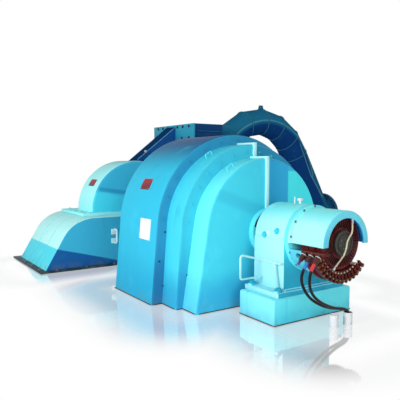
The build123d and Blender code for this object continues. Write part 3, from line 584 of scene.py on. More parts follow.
class Tone(Enum):
    """Every finish of the set."""

    # The hood's crown colour is painted shade, darker where the arch turns away from the light.
    HOOD = Enamel((0.038, 0.51, 0.74), (0.018, 0.35, 0.6), 0.0, 0.7, coat=0.0, gloss=0.03,
                  crown=Crown((0.012, 0.085, 0.24), 1.45, 1.9))
    # Darker copies for the end faces of the hood and the step covers: painted shade in the rebates, which the
    # painted-over bolts there take too.
    HOOD_SHADE = Enamel((0.032, 0.31, 0.53), (0.02, 0.165, 0.37), 0.2, 0.8)
    STEP = Enamel((0.058, 0.64, 0.83), (0.022, 0.33, 0.6), 0.0, 0.5)
    STEP_SHADE = Enamel((0.062, 0.6, 0.78), (0.022, 0.26, 0.52), 0.1, 0.9)
    COVER = Enamel((0.14, 0.86, 0.94), (0.08, 0.58, 0.85), 0.0, 0.6)
    # Darker copy for the left end cover's front faces, painted shade, with a soft painted shadow band across
    # it.
    COVER_FRONT = Enamel((0.075, 0.72, 0.9), (0.04, 0.43, 0.74), 0.12, 0.52, bands=(
        Band((0.05, 0.52, 0.74), (-0.7, 1.265), (0.02, 1.005), 0.03, 0.07, 0.5),))
    # Right end cover's front faces: a painted shadow along its top and a painted shadow beside the split,
    # where the left cover stands proud.
    COVER_RIGHT = Enamel((0.082, 0.92, 1.0), (0.05, 0.64, 0.86), 0.12, 0.52, bands=(
        Band((0.044, 0.52, 0.86), (-0.1, 1.66), (0.9, 1.66), 0.15, 0.03),
        Band((0.04, 0.46, 0.8), (0.165, -0.3), (0.165, 1.75), 0.165, 0.02)))
    SPLIT_BAR = Enamel((0.56, 0.98, 0.98), (0.38, 0.94, 0.96), 0.0, 0.9)
    # The crown colour here is painted light on the tops of the caps and the collector hood.
    PALE = Enamel((0.4, 0.88, 0.93), (0.24, 0.64, 0.84), 0.0, 0.35,
                  crown=Crown((0.23, 0.93, 0.96), 0.98, 1.12))
    # Darker copy of the pale paint for front faces, painted shade; the foot bolts take it too.
    PALE_FRONT = Enamel((0.058, 0.74, 0.88), (0.026, 0.35, 0.55), 0.4, 0.8)
    OIL_LINE = Enamel((0.52, 0.86, 0.88), (0.3, 0.76, 0.84), 0.3, 0.6)
    PLINTH = Enamel((0.25, 0.88, 0.94), (0.15, 0.68, 0.87), -0.1, 0.2, rough=0.45)
    # Darker copy of the plinth paint for front faces, painted shade; the end cover takes it too.
    PLINTH_FRONT = Enamel((0.15, 0.86, 0.96), (0.06, 0.6, 0.8), -0.1, 0.2, rough=0.45)
    # Darker copies of the pale paint for the collector hood's rim front and its inside: painted shade.
    RIM = Enamel((0.18, 0.76, 0.91), (0.12, 0.64, 0.84), 0.8, 1.0)
    RIM_INSIDE = Enamel((0.036, 0.3, 0.7), (0.024, 0.2, 0.56), 0.8, 1.0)
    # The casing tone is the darker copy and the chute tone below it the paler one, painted light on faces
    # that look left and up; both deepen under the painted shadow line.
    CASING = Enamel((0.05, 0.46, 0.69), (0.01, 0.11, 0.35), division=CHUTE_SHADOW_LINE)
    CHUTE = Enamel((0.5, 0.98, 0.98), (0.095, 0.72, 0.86), coat=0.0, gloss=0.03, division=CHUTE_SHADOW_LINE)
    # The crown colour here is painted shade on the top of the runner cover.
    ARCH = Enamel((0.42, 0.98, 0.99), (0.33, 0.93, 0.96), 0.7, 1.2, coat=0.0, gloss=0.03,
                  crown=Crown((0.2, 0.68, 0.82), 1.54, 1.66))
    # Darker copy for the runner cover's front faces, painted shade, paler towards the bottom as painted
    # light, with a painted shadow band.
    ARCH_FRONT = Enamel((0.054, 0.53, 0.79), (0.084, 0.84, 1.0), 1.04, 1.16, bands=(
        Band((0.034, 0.34, 0.6), (-0.67, 1.165), (-0.2, 1.098), 0.016, 0.032, 0.85),))
    GRAB = Enamel((0.7, 0.95, 0.96), (0.56, 0.9, 0.93), 0.3, 0.6)
    SEAM = Enamel((0.2, 0.76, 0.86), (0.11, 0.44, 0.62), 0.0, 0.6)
    # Pale bead colour for the duct's top edge: a painted highlight.
    EDGE_PALE = Enamel((0.2, 0.48, 0.64), (0.15, 0.4, 0.56), 1.0, 2.0)
    BOX = Enamel((0.026, 0.43, 0.62), (0.018, 0.32, 0.5), 1.9, 2.2)
    BOX_FRONT = Enamel((0.007, 0.056, 0.19), (0.005, 0.034, 0.105), 1.98, 2.2, gloss=0.03)
    BOX_FLANGE = Enamel((0.032, 0.33, 0.48), (0.024, 0.26, 0.42), 1.9, 2.2)
    DUCT = Enamel((0.01, 0.1, 0.34), (0.006, 0.055, 0.23), 1.4, 2.2)
    DUCT_TOP = Enamel((0.005, 0.05, 0.17), (0.004, 0.036, 0.13), 1.4, 2.2, coat=0.0, gloss=0.0)
    # The bend's arc zone and wide band darken its inner side and the drop's left side, painted shade; the
    # arc's line and the two thin bands are painted highlights.
    BEND = Enamel((0.015, 0.165, 0.3), (0.012, 0.12, 0.24), 1.2, 2.2, rough=0.4, coat=0.0, gloss=0.0,
                  arc=Arc((0.005, 0.046, 0.185), (0.11, 0.34, 0.42), (2.95, 1.2), 1.225), bands=(
                      Band((0.006, 0.05, 0.2), (3.6, 1.95), (4.5, 0.5), 0.1, 0.06),
                      Band((0.12, 0.36, 0.43), (3.79, 1.985), (4.114, 1.324), 0.004, 0.016, 0.7),
                      Band((0.12, 0.36, 0.43), (4.114, 1.324), (4.492, 0.84), 0.004, 0.016, 0.7)))
    PIPE = Enamel((0.016, 0.15, 0.29), (0.01, 0.08, 0.2), 0.4, 1.8, rough=0.24, coat=0.0, gloss=0.05)
    PIPE_SEAM = Enamel((0.03, 0.17, 0.25), (0.02, 0.11, 0.19), 0.4, 1.8)
    FOOT_EDGE = Enamel((0.012, 0.05, 0.075), (0.01, 0.035, 0.05), 0.0, 0.1, coat=0.1)
    RED_PLATE = Enamel((0.32, 0.02, 0.04), (0.11, 0.03, 0.03), 1.29, 1.35, rough=0.25)
    RED_PLATE_LOW = Enamel((0.3, 0.02, 0.04), (0.11, 0.03, 0.03), 1.23, 1.28, rough=0.25)
    WHITE_PLATE = Enamel((0.82, 0.83, 0.86), (0.76, 0.78, 0.82), rough=0.3)
    STEEL = Metal((0.64, 0.66, 0.68), (0.42, 0.44, 0.45), (30.0, 30.0, 260.0))
    BOLT = Metal((0.2, 0.25, 0.28), (0.08, 0.11, 0.13), (90.0, 90.0, 90.0), 0.42)
    SHAFT = Metal((0.48, 0.48, 0.47), (0.3, 0.26, 0.22), (20.0, 320.0, 20.0))
    DISC = Metal((0.11, 0.11, 0.095), (0.05, 0.05, 0.05), (60.0, 60.0, 60.0), 0.5)
    BRASS = Metal((0.3, 0.2, 0.1), (0.11, 0.06, 0.04), (90.0, 90.0, 90.0), 0.4)
    BRONZE = Metal((0.56, 0.4, 0.18), (0.3, 0.2, 0.09), (40.0, 200.0, 40.0))
    VARNISH = Coating((0.14, 0.015, 0.014), (0.05, 0.006, 0.008), 9.0, 0.32, 0.15, dust=0.05, gloss=0.15)
    DARK_VARNISH = Coating((0.022, 0.004, 0.005), (0.05, 0.008, 0.008), 22.0, 0.4, 0.1, dust=0.04, gloss=0.15)
    BOOT = Coating((0.06, 0.012, 0.007), (0.022, 0.005, 0.004), 14.0, 0.14, 0.25, dust=0.02, gloss=0.25)
    CABLE = Coating((0.006, 0.005, 0.008), (0.02, 0.016, 0.02), 30.0, 0.3, 0.1, dust=0.03, gloss=0.15)
    CREAM = Coating((0.7, 0.66, 0.48), (0.56, 0.5, 0.33), 40.0, 0.42, 0.1, dust=0.03)
    SLEEVE_BLUE = Coating((0.03, 0.24, 0.62), (0.02, 0.15, 0.45), 60.0, 0.32, 0.3, dust=0.03)
    SLEEVE_RED = Coating((0.64, 0.03, 0.05), (0.43, 0.02, 0.03), 60.0, 0.32, 0.3, dust=0.03)
    SLEEVE_PURPLE = Coating((0.12, 0.05, 0.23), (0.06, 0.03, 0.12), 60.0, 0.32, 0.3, dust=0.03)
    WHITE = Coating((0.76, 0.79, 0.82), (0.64, 0.67, 0.7), 12.0, 0.42, dust=0.05)
    GASKET = Coating((0.012, 0.016, 0.02), (0.02, 0.024, 0.028), 40.0, 0.6, dust=0.06)


@cache
def material(tone: Tone) -> bpy.types.Material:
    """The material of a finish, made once."""
    return tone.value.build(tone.name.lower())


# Meshes


def add_object(name: str, data: Any) -> Piece:
    """A new object with its data, in the scene."""
    thing = bpy.data.objects.new(name, data)
    bpy.context.scene.collection.objects.link(thing)
    return thing


Marks = Sequence[tuple[Callable[[Vector, Vector], bool], Tone]]


def to_mesh(name: str, shape: Shape, turned: bool = True) -> Mesh:
    """Writes a built shape to a mesh, its doubles merged and its faces turned outwards."""
    bmesh.ops.remove_doubles(shape, verts=shape.verts, dist=1e-5)
    if turned:
        bmesh.ops.recalc_face_normals(shape, faces=shape.faces)
    mesh = bpy.data.meshes.new(name)
    shape.to_mesh(mesh)
    shape.free()
    return mesh


def settle(name: str, made: Union[Shape, Mesh], tone: Tone, body: Body = Body.MACHINE,
           stands_for: Sequence[str] = (),
           marks: Marks = (), sharp: float = 34.0) -> Piece:
    """Makes a finished piece that rides on a body.

    Args:
        name: the piece's name.
        made: its shape or its mesh, in place.
        tone: its finish.
        body: the body it rides on.
        stands_for: CAD nodes it stands for.
        marks: tests of a face's normal and centre, each with the finish of the faces that pass it first.
        sharp: angle in degrees past which an edge stays hard.

    Returns:
        The piece.
    """
    mesh = made if isinstance(made, Mesh) else to_mesh(name, made)
    mesh.materials.clear()
    for finish in (tone, *(other for _, other in marks)):
        mesh.materials.append(material(finish))
    for face in mesh.polygons:
        found = [index for index, (test, _) in enumerate(marks, 1) if test(face.normal, face.center)]
        face.material_index = found[0] if found else 0
    mesh.shade_smooth()
    mesh.set_sharp_from_angle(angle=math.radians(sharp))
    piece = add_object(name, mesh)
    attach(piece, body.value)
    if stands_for:
        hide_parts(*stands_for)
    LOG.info("piece %s: %d faces", name, len(mesh.polygons))
    return piece


def loft(shape: Shape, rows: Sequence[Sequence[Point]], capped: bool = True,
         closed: bool = False) -> list[list[bmesh.types.BMVert]]:
    """Joins closed rows of points, each to the next.

    Args:
        shape: the shape to add to.
        rows: the rows, with the same count of points.
        capped: whether the first and the last row are closed by a face.
        closed: whether the last row is joined to the first.

    Returns:
        The corners of the rows.
    """
    built = [[shape.verts.new(point) for point in row] for row in rows]
    for low, high in zip(built, built[1:] + built[:1] if closed else built[1:]):
        for index, corner in enumerate(low):
            after = (index + 1) % len(low)
            shape.faces.new((corner, low[after], high[after], high[index]))
    if capped:
        shape.faces.new(built[0])
        shape.faces.new(built[-1])
    return built


def arc(radius: float, first: float, last: float, steps: int, centre: Flat = (0.0, SHAFT_Z)) -> Loop:
    """Points along an arc between two angles in radians, by default about the shaft on the X-Z plane."""
    angles = [first + (last - first) * index / steps for index in range(steps + 1)]
    return [(centre[0] + radius * math.cos(angle), centre[1] + radius * math.sin(angle)) for angle in angles]


def circle(radius: float, count: int, centre: Flat = (0.0, 0.0)) -> Loop:
    """Points spread evenly round a circle."""
    return arc(radius, 0.0, math.tau, count, centre)[:count]


def roll(depth: float, y: float, steps: int) -> list[Flat]:
    """Inset and Y of the stations of an outline whose front edge is rolled over to a depth."""
    turns = [QUARTER * index / steps for index in range(steps + 1)]
    return [(depth * (1 - math.sin(turn)), y + depth * (1 - math.cos(turn))) for turn in turns]


def rolled(depth: float, y0: float, y1: float, steps: int, both: bool = True) -> list[Flat]:
    """Stations as roll gives, on to the back, where the edge is rolled over too or left sharp."""
    front = roll(depth, y0, steps)
    return front + ([(inset, y1 - (y - y0)) for inset, y in reversed(front)] if both else [(0.0, y1)])


def draw_out(outline: Callable[[float], Loop], stations: Sequence[Flat]) -> Shape:
    """Draws an outline on the X-Z plane out along Y and caps both ends.

    Args:
        outline: gives the outline at an inset.
        stations: inset and Y of each station.

    Returns:
        The shape.
    """
    shape = bmesh.new()
    loft(shape, [[(x, y, z) for x, z in outline(inset)] for inset, y in stations])
    return shape


def lathe(shape: Shape, profile: Sequence[Flat], steps: int = 96, centre: Flat = (0.0, SHAFT_Z),
          start: float = 0.0, sweep: float = FULL_TURN) -> Shape:
    """Turns a closed profile about a line along Y.

    Args:
        shape: the shape to add to.
        profile: corners as radius and Y.
        steps: stations round the turn.
        centre: X and Z of the line.
        start: first angle in degrees, from +X towards +Z.
        sweep: turn in degrees; under a full turn the ends are capped.

    Returns:
        The shape.
    """
    full = sweep >= FULL_TURN
    rows = []
    for index in range(steps if full else steps + 1):
        angle = math.radians(start + sweep * index / steps)
        rows.append([(centre[0] + r * math.cos(angle), y, centre[1] + r * math.sin(angle))
                     for r, y in profile])
    loft(shape, rows, capped=not full, closed=full)
    return shape


def rounded_profile(inner: float, outer: float, y0: float, y1: float, radius: float) -> Loop:
    """Rectangle of radius and Y whose outer corners are rounded.

    Args:
        inner: inner radius.
        outer: outer radius.
        y0: front.
        y1: back.
        radius: the corners' radius.

    Returns:
        The profile's corners.
    """
    runs = 4
    front = arc(radius, -QUARTER, 0.0, runs, (outer - radius, y0 + radius))
    back = arc(radius, 0.0, QUARTER, runs, (outer - radius, y1 - radius))
    return [(inner, y0)] + front + back + [(inner, y1)]


def cad_shape(node: str) -> Shape:
    """A merged copy of a CAD node, its flat faces whole again."""
    shape = bmesh.new()
    shape.from_mesh(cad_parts[node].data)
    bmesh.ops.remove_doubles(shape, verts=shape.verts, dist=2e-5)
    bmesh.ops.dissolve_limit(shape, angle_limit=math.radians(0.4), verts=shape.verts, edges=shape.edges)
    return shape


def round_edges(shape: Shape, width: float) -> None:
    """Rounds every edge of a shape that isn't nearly flat, to a width."""
    least = math.radians(28.0)
    edges = [edge for edge in shape.edges if len(edge.link_faces) == 2 and edge.calc_face_angle(0.0) > least]
    bmesh.ops.bevel(shape, geom=edges, offset=width, segments=2, profile=0.5, affect="EDGES",
                    clamp_overlap=True)


def dress(node: str, name: str, tone: Tone, width: float, marks: Marks = ()) -> None:
    """Stands a rounded copy in for a CAD node of the machine.

    Args:
        node: the CAD node.
        name: the piece's name.
        tone: its finish.
        width: rounding of its edges, 0 for none.
        marks: tests of faces, each with the finish of the faces that pass it.
    """
    shape = cad_shape(node)
    if width:
        round_edges(shape, width)
    settle(name, to_mesh(name, shape, turned=False), tone, stands_for=[node], marks=marks)


# Geometry Nodes


class TreeMaker(NodeTree):
    """Builds a geometry node tree with named inputs."""

    def __init__(self, name: str, inputs: Sequence[tuple[str, str, Any]]) -> None:
        """Starts the tree.

        Args:
            name: the tree's name.
            inputs: name, socket type and value of each input after the geometry.
        """
        super().__init__(bpy.data.node_groups.new(name, "GeometryNodeTree"))
        sockets = self.tree.interface
        sockets.new_socket("Geometry", in_out="INPUT", socket_type="NodeSocketGeometry")
        self.names: dict[str, str] = {}
        for label, kind, value in inputs:
            socket = sockets.new_socket(label, in_out="INPUT", socket_type=kind)
            if value is not None:
                socket.default_value = value
            self.names[label] = socket.identifier
        sockets.new_socket("Geometry", in_out="OUTPUT", socket_type="NodeSocketGeometry")
        self.entry = self.node("NodeGroupInput").outputs

    def maths(self, operation: str, first: Any, second: Any) -> bpy.types.NodeSocket:
        """Result of a Math node on two values or sockets."""
        return self.node("ShaderNodeMath", {"operation": operation}, {0: first, 1: second}).outputs[0]

    def close(self, geometry: bpy.types.NodeSocket) -> None:
        """Realizes a geometry, gives it the material input and ends the tree with it."""
        real = self.node("GeometryNodeRealizeInstances", None, {0: geometry})
        painted = self.node("GeometryNodeSetMaterial", None,
                           {"Geometry": real.outputs[0], "Material": self.entry["Material"]})
        self.node("NodeGroupOutput", None, {0: painted.outputs[0]})

    def run(self, name: str, mesh: Mesh, values: Mapping[str, Any]) -> Mesh:
        """Runs the tree on a mesh.

        Args:
            name: name of the result.
            mesh: the mesh it starts from.
            values: a value for each named input.

        Returns:
            The plain mesh that comes out.
        """
        carrier = add_object(name + "_carrier", mesh)
        modifier = carrier.modifiers.new("tree", "NODES")
        modifier.node_group = self.tree
        for label, value in values.items():
            modifier[self.names[label]] = value
        carrier.update_tag()
        graph = bpy.context.evaluated_depsgraph_get()
        graph.update()
        result = bpy.data.meshes.new_from_object(carrier.evaluated_get(graph), depsgraph=graph)
        result.name = name
        carrier.modifiers.remove(modifier)
        bpy.data.objects.remove(carrier)
        return result


def stamp_tree() -> TreeMaker:
    """Tree that sets a pattern object on every vertex, turned to the vertex's facing."""
    maker = TreeMaker("stamp_tree", [("Pattern", "NodeSocketObject", None), ("Size", "NodeSocketFloat", 1.0),
                                     ("Turn", "NodeSocketFloat", 0.0), ("Seed", "NodeSocketInt", 7),
                                     ("Material", "NodeSocketMaterial", None)])
    entry = maker.entry
    pattern = maker.node("GeometryNodeObjectInfo", {"transform_space": "ORIGINAL"},
                         {"Object": entry["Pattern"]})
    facing, across = (maker.node("GeometryNodeInputNamedAttribute", {"data_type": "FLOAT_VECTOR"},
                                 {"Name": label}).outputs[0] for label in ("facing", "across"))
    upright = maker.node("FunctionNodeAlignRotationToVector", {"axis": "Z"}, {"Vector": facing})
    placed = maker.node("FunctionNodeAlignRotationToVector", {"axis": "X", "pivot_axis": "Z"},
                        {"Rotation": upright.outputs[0], "Vector": across})
    chance = maker.node("FunctionNodeRandomValue", {"data_type": "FLOAT"},
                        {2: -1.0, 3: 1.0, "Seed": entry["Seed"]})
    spin = maker.node("FunctionNodeAxisAngleToRotation", None,
                      {"Axis": UP, "Angle": maker.maths("MULTIPLY", chance.outputs[1], entry["Turn"])})
    turned = maker.node("FunctionNodeRotateRotation", {"rotation_space": "LOCAL"},
                        {0: placed.outputs[0], 1: spin.outputs[0]})
    scale = maker.node("ShaderNodeCombineXYZ", None, {axis: entry["Size"] for axis in range(3)})
    stamped = maker.node("GeometryNodeInstanceOnPoints", None,
                         {"Points": entry["Geometry"], "Instance": pattern.outputs["Geometry"],
                          "Rotation": turned.outputs[0], "Scale": scale.outputs[0]})
    maker.close(stamped.outputs[0])
    return maker


def bead_tree() -> TreeMaker:
    """Tree that lays a rippled weld bead along the edges of a mesh."""
    maker = TreeMaker("bead_tree", [("Radius", "NodeSocketFloat", 0.006), ("Pitch", "NodeSocketFloat", 0.02),
                                    ("Ripple", "NodeSocketFloat", 0.2),
                                    ("Material", "NodeSocketMaterial", None)])
    entry = maker.entry
    line = maker.node("GeometryNodeMeshToCurve", None, {0: entry["Geometry"]})
    even = maker.node("GeometryNodeResampleCurve", {"mode": "LENGTH"},
                      {"Curve": line.outputs[0], "Length": entry["Pitch"]})
    noise = maker.node("ShaderNodeTexNoise", None, {"Scale": 60.0, "Detail": 1.0})
    swing = maker.maths("MULTIPLY", maker.maths("SUBTRACT", noise.outputs[0], 0.5), entry["Ripple"])
    radius = maker.maths("MULTIPLY", maker.maths("ADD", swing, 1.0), entry["Radius"])
    ring = maker.node("GeometryNodeCurvePrimitiveCircle", None, {"Resolution": 8, "Radius": 1.0})
    bead = maker.node("GeometryNodeCurveToMesh", None,
                      {"Curve": even.outputs[0], "Profile Curve": ring.outputs[0], "Scale": radius,
                       "Fill Caps": True})
    maker.close(bead.outputs[0])
    return maker


@dataclass
class Spot:
    """A place to stamp a pattern at."""

    place: Point
    facing: Point
    across: Point = (1.0, 0.0, 0.0)


Pattern = Callable[[Shape], None]


class Fitter:
    """Stamps fasteners and lays beads."""

    def __init__(self) -> None:
        """Builds the trees."""
        self.stamps = stamp_tree()
        self.beads = bead_tree()
        self.patterns: dict[str, Piece] = {}

    def pattern(self, build: Pattern) -> Piece:
        """The object of a pattern, made once.

        Args:
            build: a function that adds the pattern to a shape.

        Returns:
            The object.
        """
        name = build.__name__ + "_pattern"
        if name not in self.patterns:
            shape = bmesh.new()
            build(shape)
            self.patterns[name] = add_object(name, to_mesh(name, shape))
        return self.patterns[name]

    def stamp(self, name: str, build: Pattern, spots: Sequence[Spot], size: float, tone: Tone,
              body: Body = Body.MACHINE, turn: float = math.pi,
              stands_for: Sequence[str] = ()) -> None:
        """Stamps a pattern at many spots as one piece.

        Args:
            name: the piece's name.
            build: a function that adds the pattern to a shape.
            spots: where it is stamped.
            size: scale of the pattern.
            tone: its finish.
            body: the body it rides on.
            turn: largest random turn about its own axis, in radians.
            stands_for: CAD nodes it stands for.
        """
        mesh = bpy.data.meshes.new(name + "_spots")
        mesh.from_pydata([spot.place for spot in spots], [], [])
        for label in ("facing", "across"):
            attribute = mesh.attributes.new(label, "FLOAT_VECTOR", "POINT")
            numbers = [number for spot in spots for number in getattr(spot, label)]
            attribute.data.foreach_set("vector", numbers)
        result = self.stamps.run(name, mesh, {"Pattern": self.pattern(build), "Size": size, "Turn": turn,
                                              "Material": material(tone)})
        settle(name, result, tone, body, stands_for)

    def bead(self, name: str, lines: Sequence[Sequence[Point]], radius: float, tone: Tone,
             closed: bool = False, pitch: float = 0.02, slot: Slot = Slot.PAINT,
             ripple: float = 0.5) -> Piece:
        """Lays a bead along each line as one piece.

        Args:
            name: the piece's name.
            lines: points of each line.
            radius: the bead's radius.
            tone: its finish.
            closed: whether each line closes on itself.
            pitch: distance between the bead's stations.
            slot: not used.
            ripple: how much the radius wanders.

        Returns:
            The piece.
        """
        points: list[Point] = []
        edges: list[tuple[int, int]] = []
        for line in lines:
            first = len(points)
            points.extend(line)
            edges.extend((first + i, first + i + 1) for i in range(len(line) - 1))
            if closed:
                edges.append((first + len(line) - 1, first))
        mesh = bpy.data.meshes.new(name + "_lines")
        mesh.from_pydata(points, edges, [])
        result = self.beads.run(name, mesh, {"Radius": radius, "Pitch": pitch, "Ripple": ripple,
                                             "Material": material(tone)})
        return settle(name, result, tone)

    def sealant(self, name: str, lines: Sequence[Sequence[Flat]], closed: bool = False) -> None:
        """Lays a thin dark bead on the floor along a foot: a painted contact shadow.

        Args:
            name: the piece's name.
            lines: X and Y of the points of each line.
            closed: whether each line closes on itself.
        """
        radius, height = 0.005, 0.006
        raised = [[(x, y, height) for x, y in line] for line in lines]
        self.bead(name, raised, radius, Tone.GASKET, closed, pitch=0.05, ripple=0.3)

    def clear(self) -> None:
        """Removes the patterns once everything is stamped."""
        for pattern in self.patterns.values():
            bpy.data.objects.remove(pattern)
        self.patterns.clear()


def hex_bolt(shape: Shape) -> None:
    """Hexagon head on a washer, one unit across its corners, chamfered on top."""
    washer = ((0.66, 0.0), (0.66, 0.1))
    head = ((0.5, 0.1), (0.5, 0.36), (0.43, 0.44))
    for profile, sides in ((washer, 20), (head, 6)):
        loft(shape, [[(x, y, z) for x, y in circle(radius, sides)] for radius, z in profile])


def rivet_head(shape: Shape) -> None:
    """Domed head one unit across."""
    bmesh.ops.create_uvsphere(shape, u_segments=12, v_segments=6, radius=0.5,
                              matrix=Matrix.Diagonal((1.0, 1.0, 0.5, 1.0)))


def coil_end(shape: Shape) -> None:
    """Rounded coil end that lies radially on a drum's face, X outwards, Z off the face."""
    half, width = 0.044, 0.009
    section = [math.radians(turn) for turn in (0, 45, 90, 135, 180, 270)]
    rows = []
    for share in (-1.0, -0.92, -0.7, 0.0, 0.7, 0.92, 1.0):
        swell = width * math.sqrt(1.0 - abs(share) ** 6)
        rows.append([(share * half, swell * math.cos(angle), swell * math.sin(angle)) for angle in section])
    loft(shape, rows, capped=False)


def solid_box(shape: Shape, low: Point, high: Point, width: float) -> None:
    """Adds a box between two corners, its edges rounded by a width."""
    made = bmesh.ops.create_cube(shape, size=1.0)["verts"]
    size = [b - a for a, b in zip(low, high)]
    centre = [(a + b) / 2 for a, b in zip(low, high)]
    bmesh.ops.transform(shape, matrix=Matrix.Translation(centre) @ Matrix.Diagonal((*size, 1.0)), verts=made)
    edges = list({edge for vertex in made for edge in vertex.link_edges})
    bmesh.ops.bevel(shape, geom=edges, offset=width, segments=2, profile=0.5, affect="EDGES")


def brush_block(shape: Shape) -> None:
    """Brush holder block, X outwards, Z off the ring's face."""
    reach, half, floor, wall = 0.044, 0.013, 0.02, 0.026
    for start, end, top in ((-reach, reach, floor), (-reach, -0.036, wall), (-0.008, reach, wall)):
        solid_box(shape, (start, -half, 0.0), (end, half, top), 0.002)


def brush_clip(shape: Shape) -> None:
    """Bent strip that stands over a brush block, X outwards, Z off the ring's face."""
    half, strip, foot, reach = 0.0135, 0.004, 0.01, 0.04
    for near, far, base in ((-half, strip - half, foot), (half - strip, half, foot),
                            (-half, half, reach - strip)):
        solid_box(shape, (0.006, near, base), (0.022, far, reach), 0.001)


def ring_spots(radius: float, y: float, count: int, start: float = 0.0,
               sweep: float = FULL_TURN) -> list[Spot]:
    """Spots on a circle about the shaft that face forward.

    Args:
        radius: the circle's radius.
        y: its place.
        count: how many.
        start: first angle in degrees.
        sweep: turn from first to last, or a full turn.

    Returns:
        The spots.
    """
    gaps = count if sweep >= FULL_TURN else count - 1
    spots = []
    for index in range(count):
        angle = math.radians(start + sweep * index / gaps)
        out = (math.cos(angle), 0.0, math.sin(angle))
        spots.append(Spot((radius * out[0], y, SHAFT_Z + radius * out[2]), FORWARD, out))
    return spots


# Sub-assemblies


@dataclass
class ArchCover:
    """A cover whose outline is an arch about the shaft on straight legs, whole or one half."""

    name: str
    node: str
    radius: float
    foot: float
    y0: float
    y1: float
    tone: Tone
    # shade: the finish of the end faces, a darker copy of the paint, painted shade.
    shade: Tone
    rounding: float = 0.024
    edge_x: Optional[float] = None
    left: bool = True
    bore: float = 0.118
    steps: int = 56
    bore_steps: int = 24
    roll_steps: int = 5

    def lean(self) -> float:
        """Angle above the shaft line at which the legs leave the arch."""
        return math.acos(self.radius / math.hypot(self.foot, SHAFT_Z)) - math.atan2(SHAFT_Z, self.foot)

    def side(self, inset: float, sign: float) -> Loop:
        """Floor point of one leg at an inset."""
        return [(sign * (self.foot - inset / math.cos(self.lean())), 0.0)]

    def loop(self, inset: float) -> Loop:
        """The outline with its outer side drawn in.

        Args:
            inset: how far it is drawn in.

        Returns:
            The outline's corners.
        """
        radius, lean = self.radius - inset, self.lean()
        if self.edge_x is None:
            return (self.side(inset, -1.0) + arc(radius, math.pi - lean, lean, self.steps)
                    + self.side(inset, 1.0))
        first = math.pi - lean if self.left else lean
        outer = arc(radius, first, math.acos(self.edge_x / radius), self.steps)
        return self.side(inset, -1.0 if self.left else 1.0) + outer + self.bore_arc() + [(self.edge_x, 0.0)]

    def bore_arc(self) -> Loop:
        """The half circle that the shaft or the seal passes through."""
        start = math.acos(self.edge_x / self.bore)
        return arc(self.bore, start, math.tau - start if self.left else -start, self.bore_steps)

    def build(self) -> None:
        """Builds the cover with its end edges rounded."""
        stations = rolled(self.rounding, self.y0, self.y1, self.roll_steps, both=self.edge_x is None)
        # End faces take the darker tone: painted shade.
        settle(self.name, draw_out(self.loop, stations), self.tone, stands_for=[self.node],
               marks=[(lambda normal, centre: abs(normal.y) > 0.6, self.shade)])


@dataclass
class ArchPlate:
    """A thin plate bent round an arch about the shaft, between two angles in degrees."""

    name: str
    radius: float
    start: float
    end: float
    y0: float
    y1: float
    tone: Tone
    thick: float = 0.004
    sunk: float = 0.002
    edge: float = 0.0015
    steps: int = 10
    rivet_inset: float = 0.014
    rivet: float = 0.012

    def at(self, turn: float, y: float, lift: float) -> Point:
        """A point at a turn in degrees, a place along the shaft and a height over the arch."""
        angle, reach = math.radians(turn), self.radius + lift
        return reach * math.cos(angle), y, SHAFT_Z + reach * math.sin(angle)

    def rivets(self) -> list[Spot]:
        """Spots for a rivet in each corner."""
        inset = math.degrees(self.rivet_inset / self.radius)
        spots = []
        for turn in (self.start + inset, self.end - inset):
            out = (math.cos(math.radians(turn)), 0.0, math.sin(math.radians(turn)))
            spots += [Spot(self.at(turn, y, self.thick), out, ALONG)
                      for y in (self.y0 + self.rivet_inset, self.y1 - self.rivet_inset)]
        return spots

    def build(self, fitter: Fitter, rivets: str) -> None:
        """Builds the plate with softened edges, and its rivets.

        Args:
            fitter: stamps the rivets.
            rivets: their name.
        """
        shape = bmesh.new()
        turns = [self.start + (self.end - self.start) * i / self.steps for i in range(self.steps + 1)]
        rows = []
        for inset, lift in ((0.0, -self.sunk), (0.0, self.thick - self.edge), (self.edge, self.thick)):
            shrink = inset * math.degrees(1.0 / self.radius)
            stations = [turns[0] + shrink] + turns[1:-1] + [turns[-1] - shrink]
            rows.append([self.at(turn, self.y0 + inset, lift) for turn in stations]
                        + [self.at(turn, self.y1 - inset, lift) for turn in reversed(stations)])
        built = loft(shape, rows, capped=False)
        for row in (built[0], built[-1]):
            for low in range(self.steps):
                high = len(row) - 1 - low
                shape.faces.new((row[low], row[low + 1], row[high - 1], row[high]))
        settle(self.name, shape, self.tone)
        fitter.stamp(rivets, rivet_head, self.rivets(), self.rivet, Tone.STEEL)


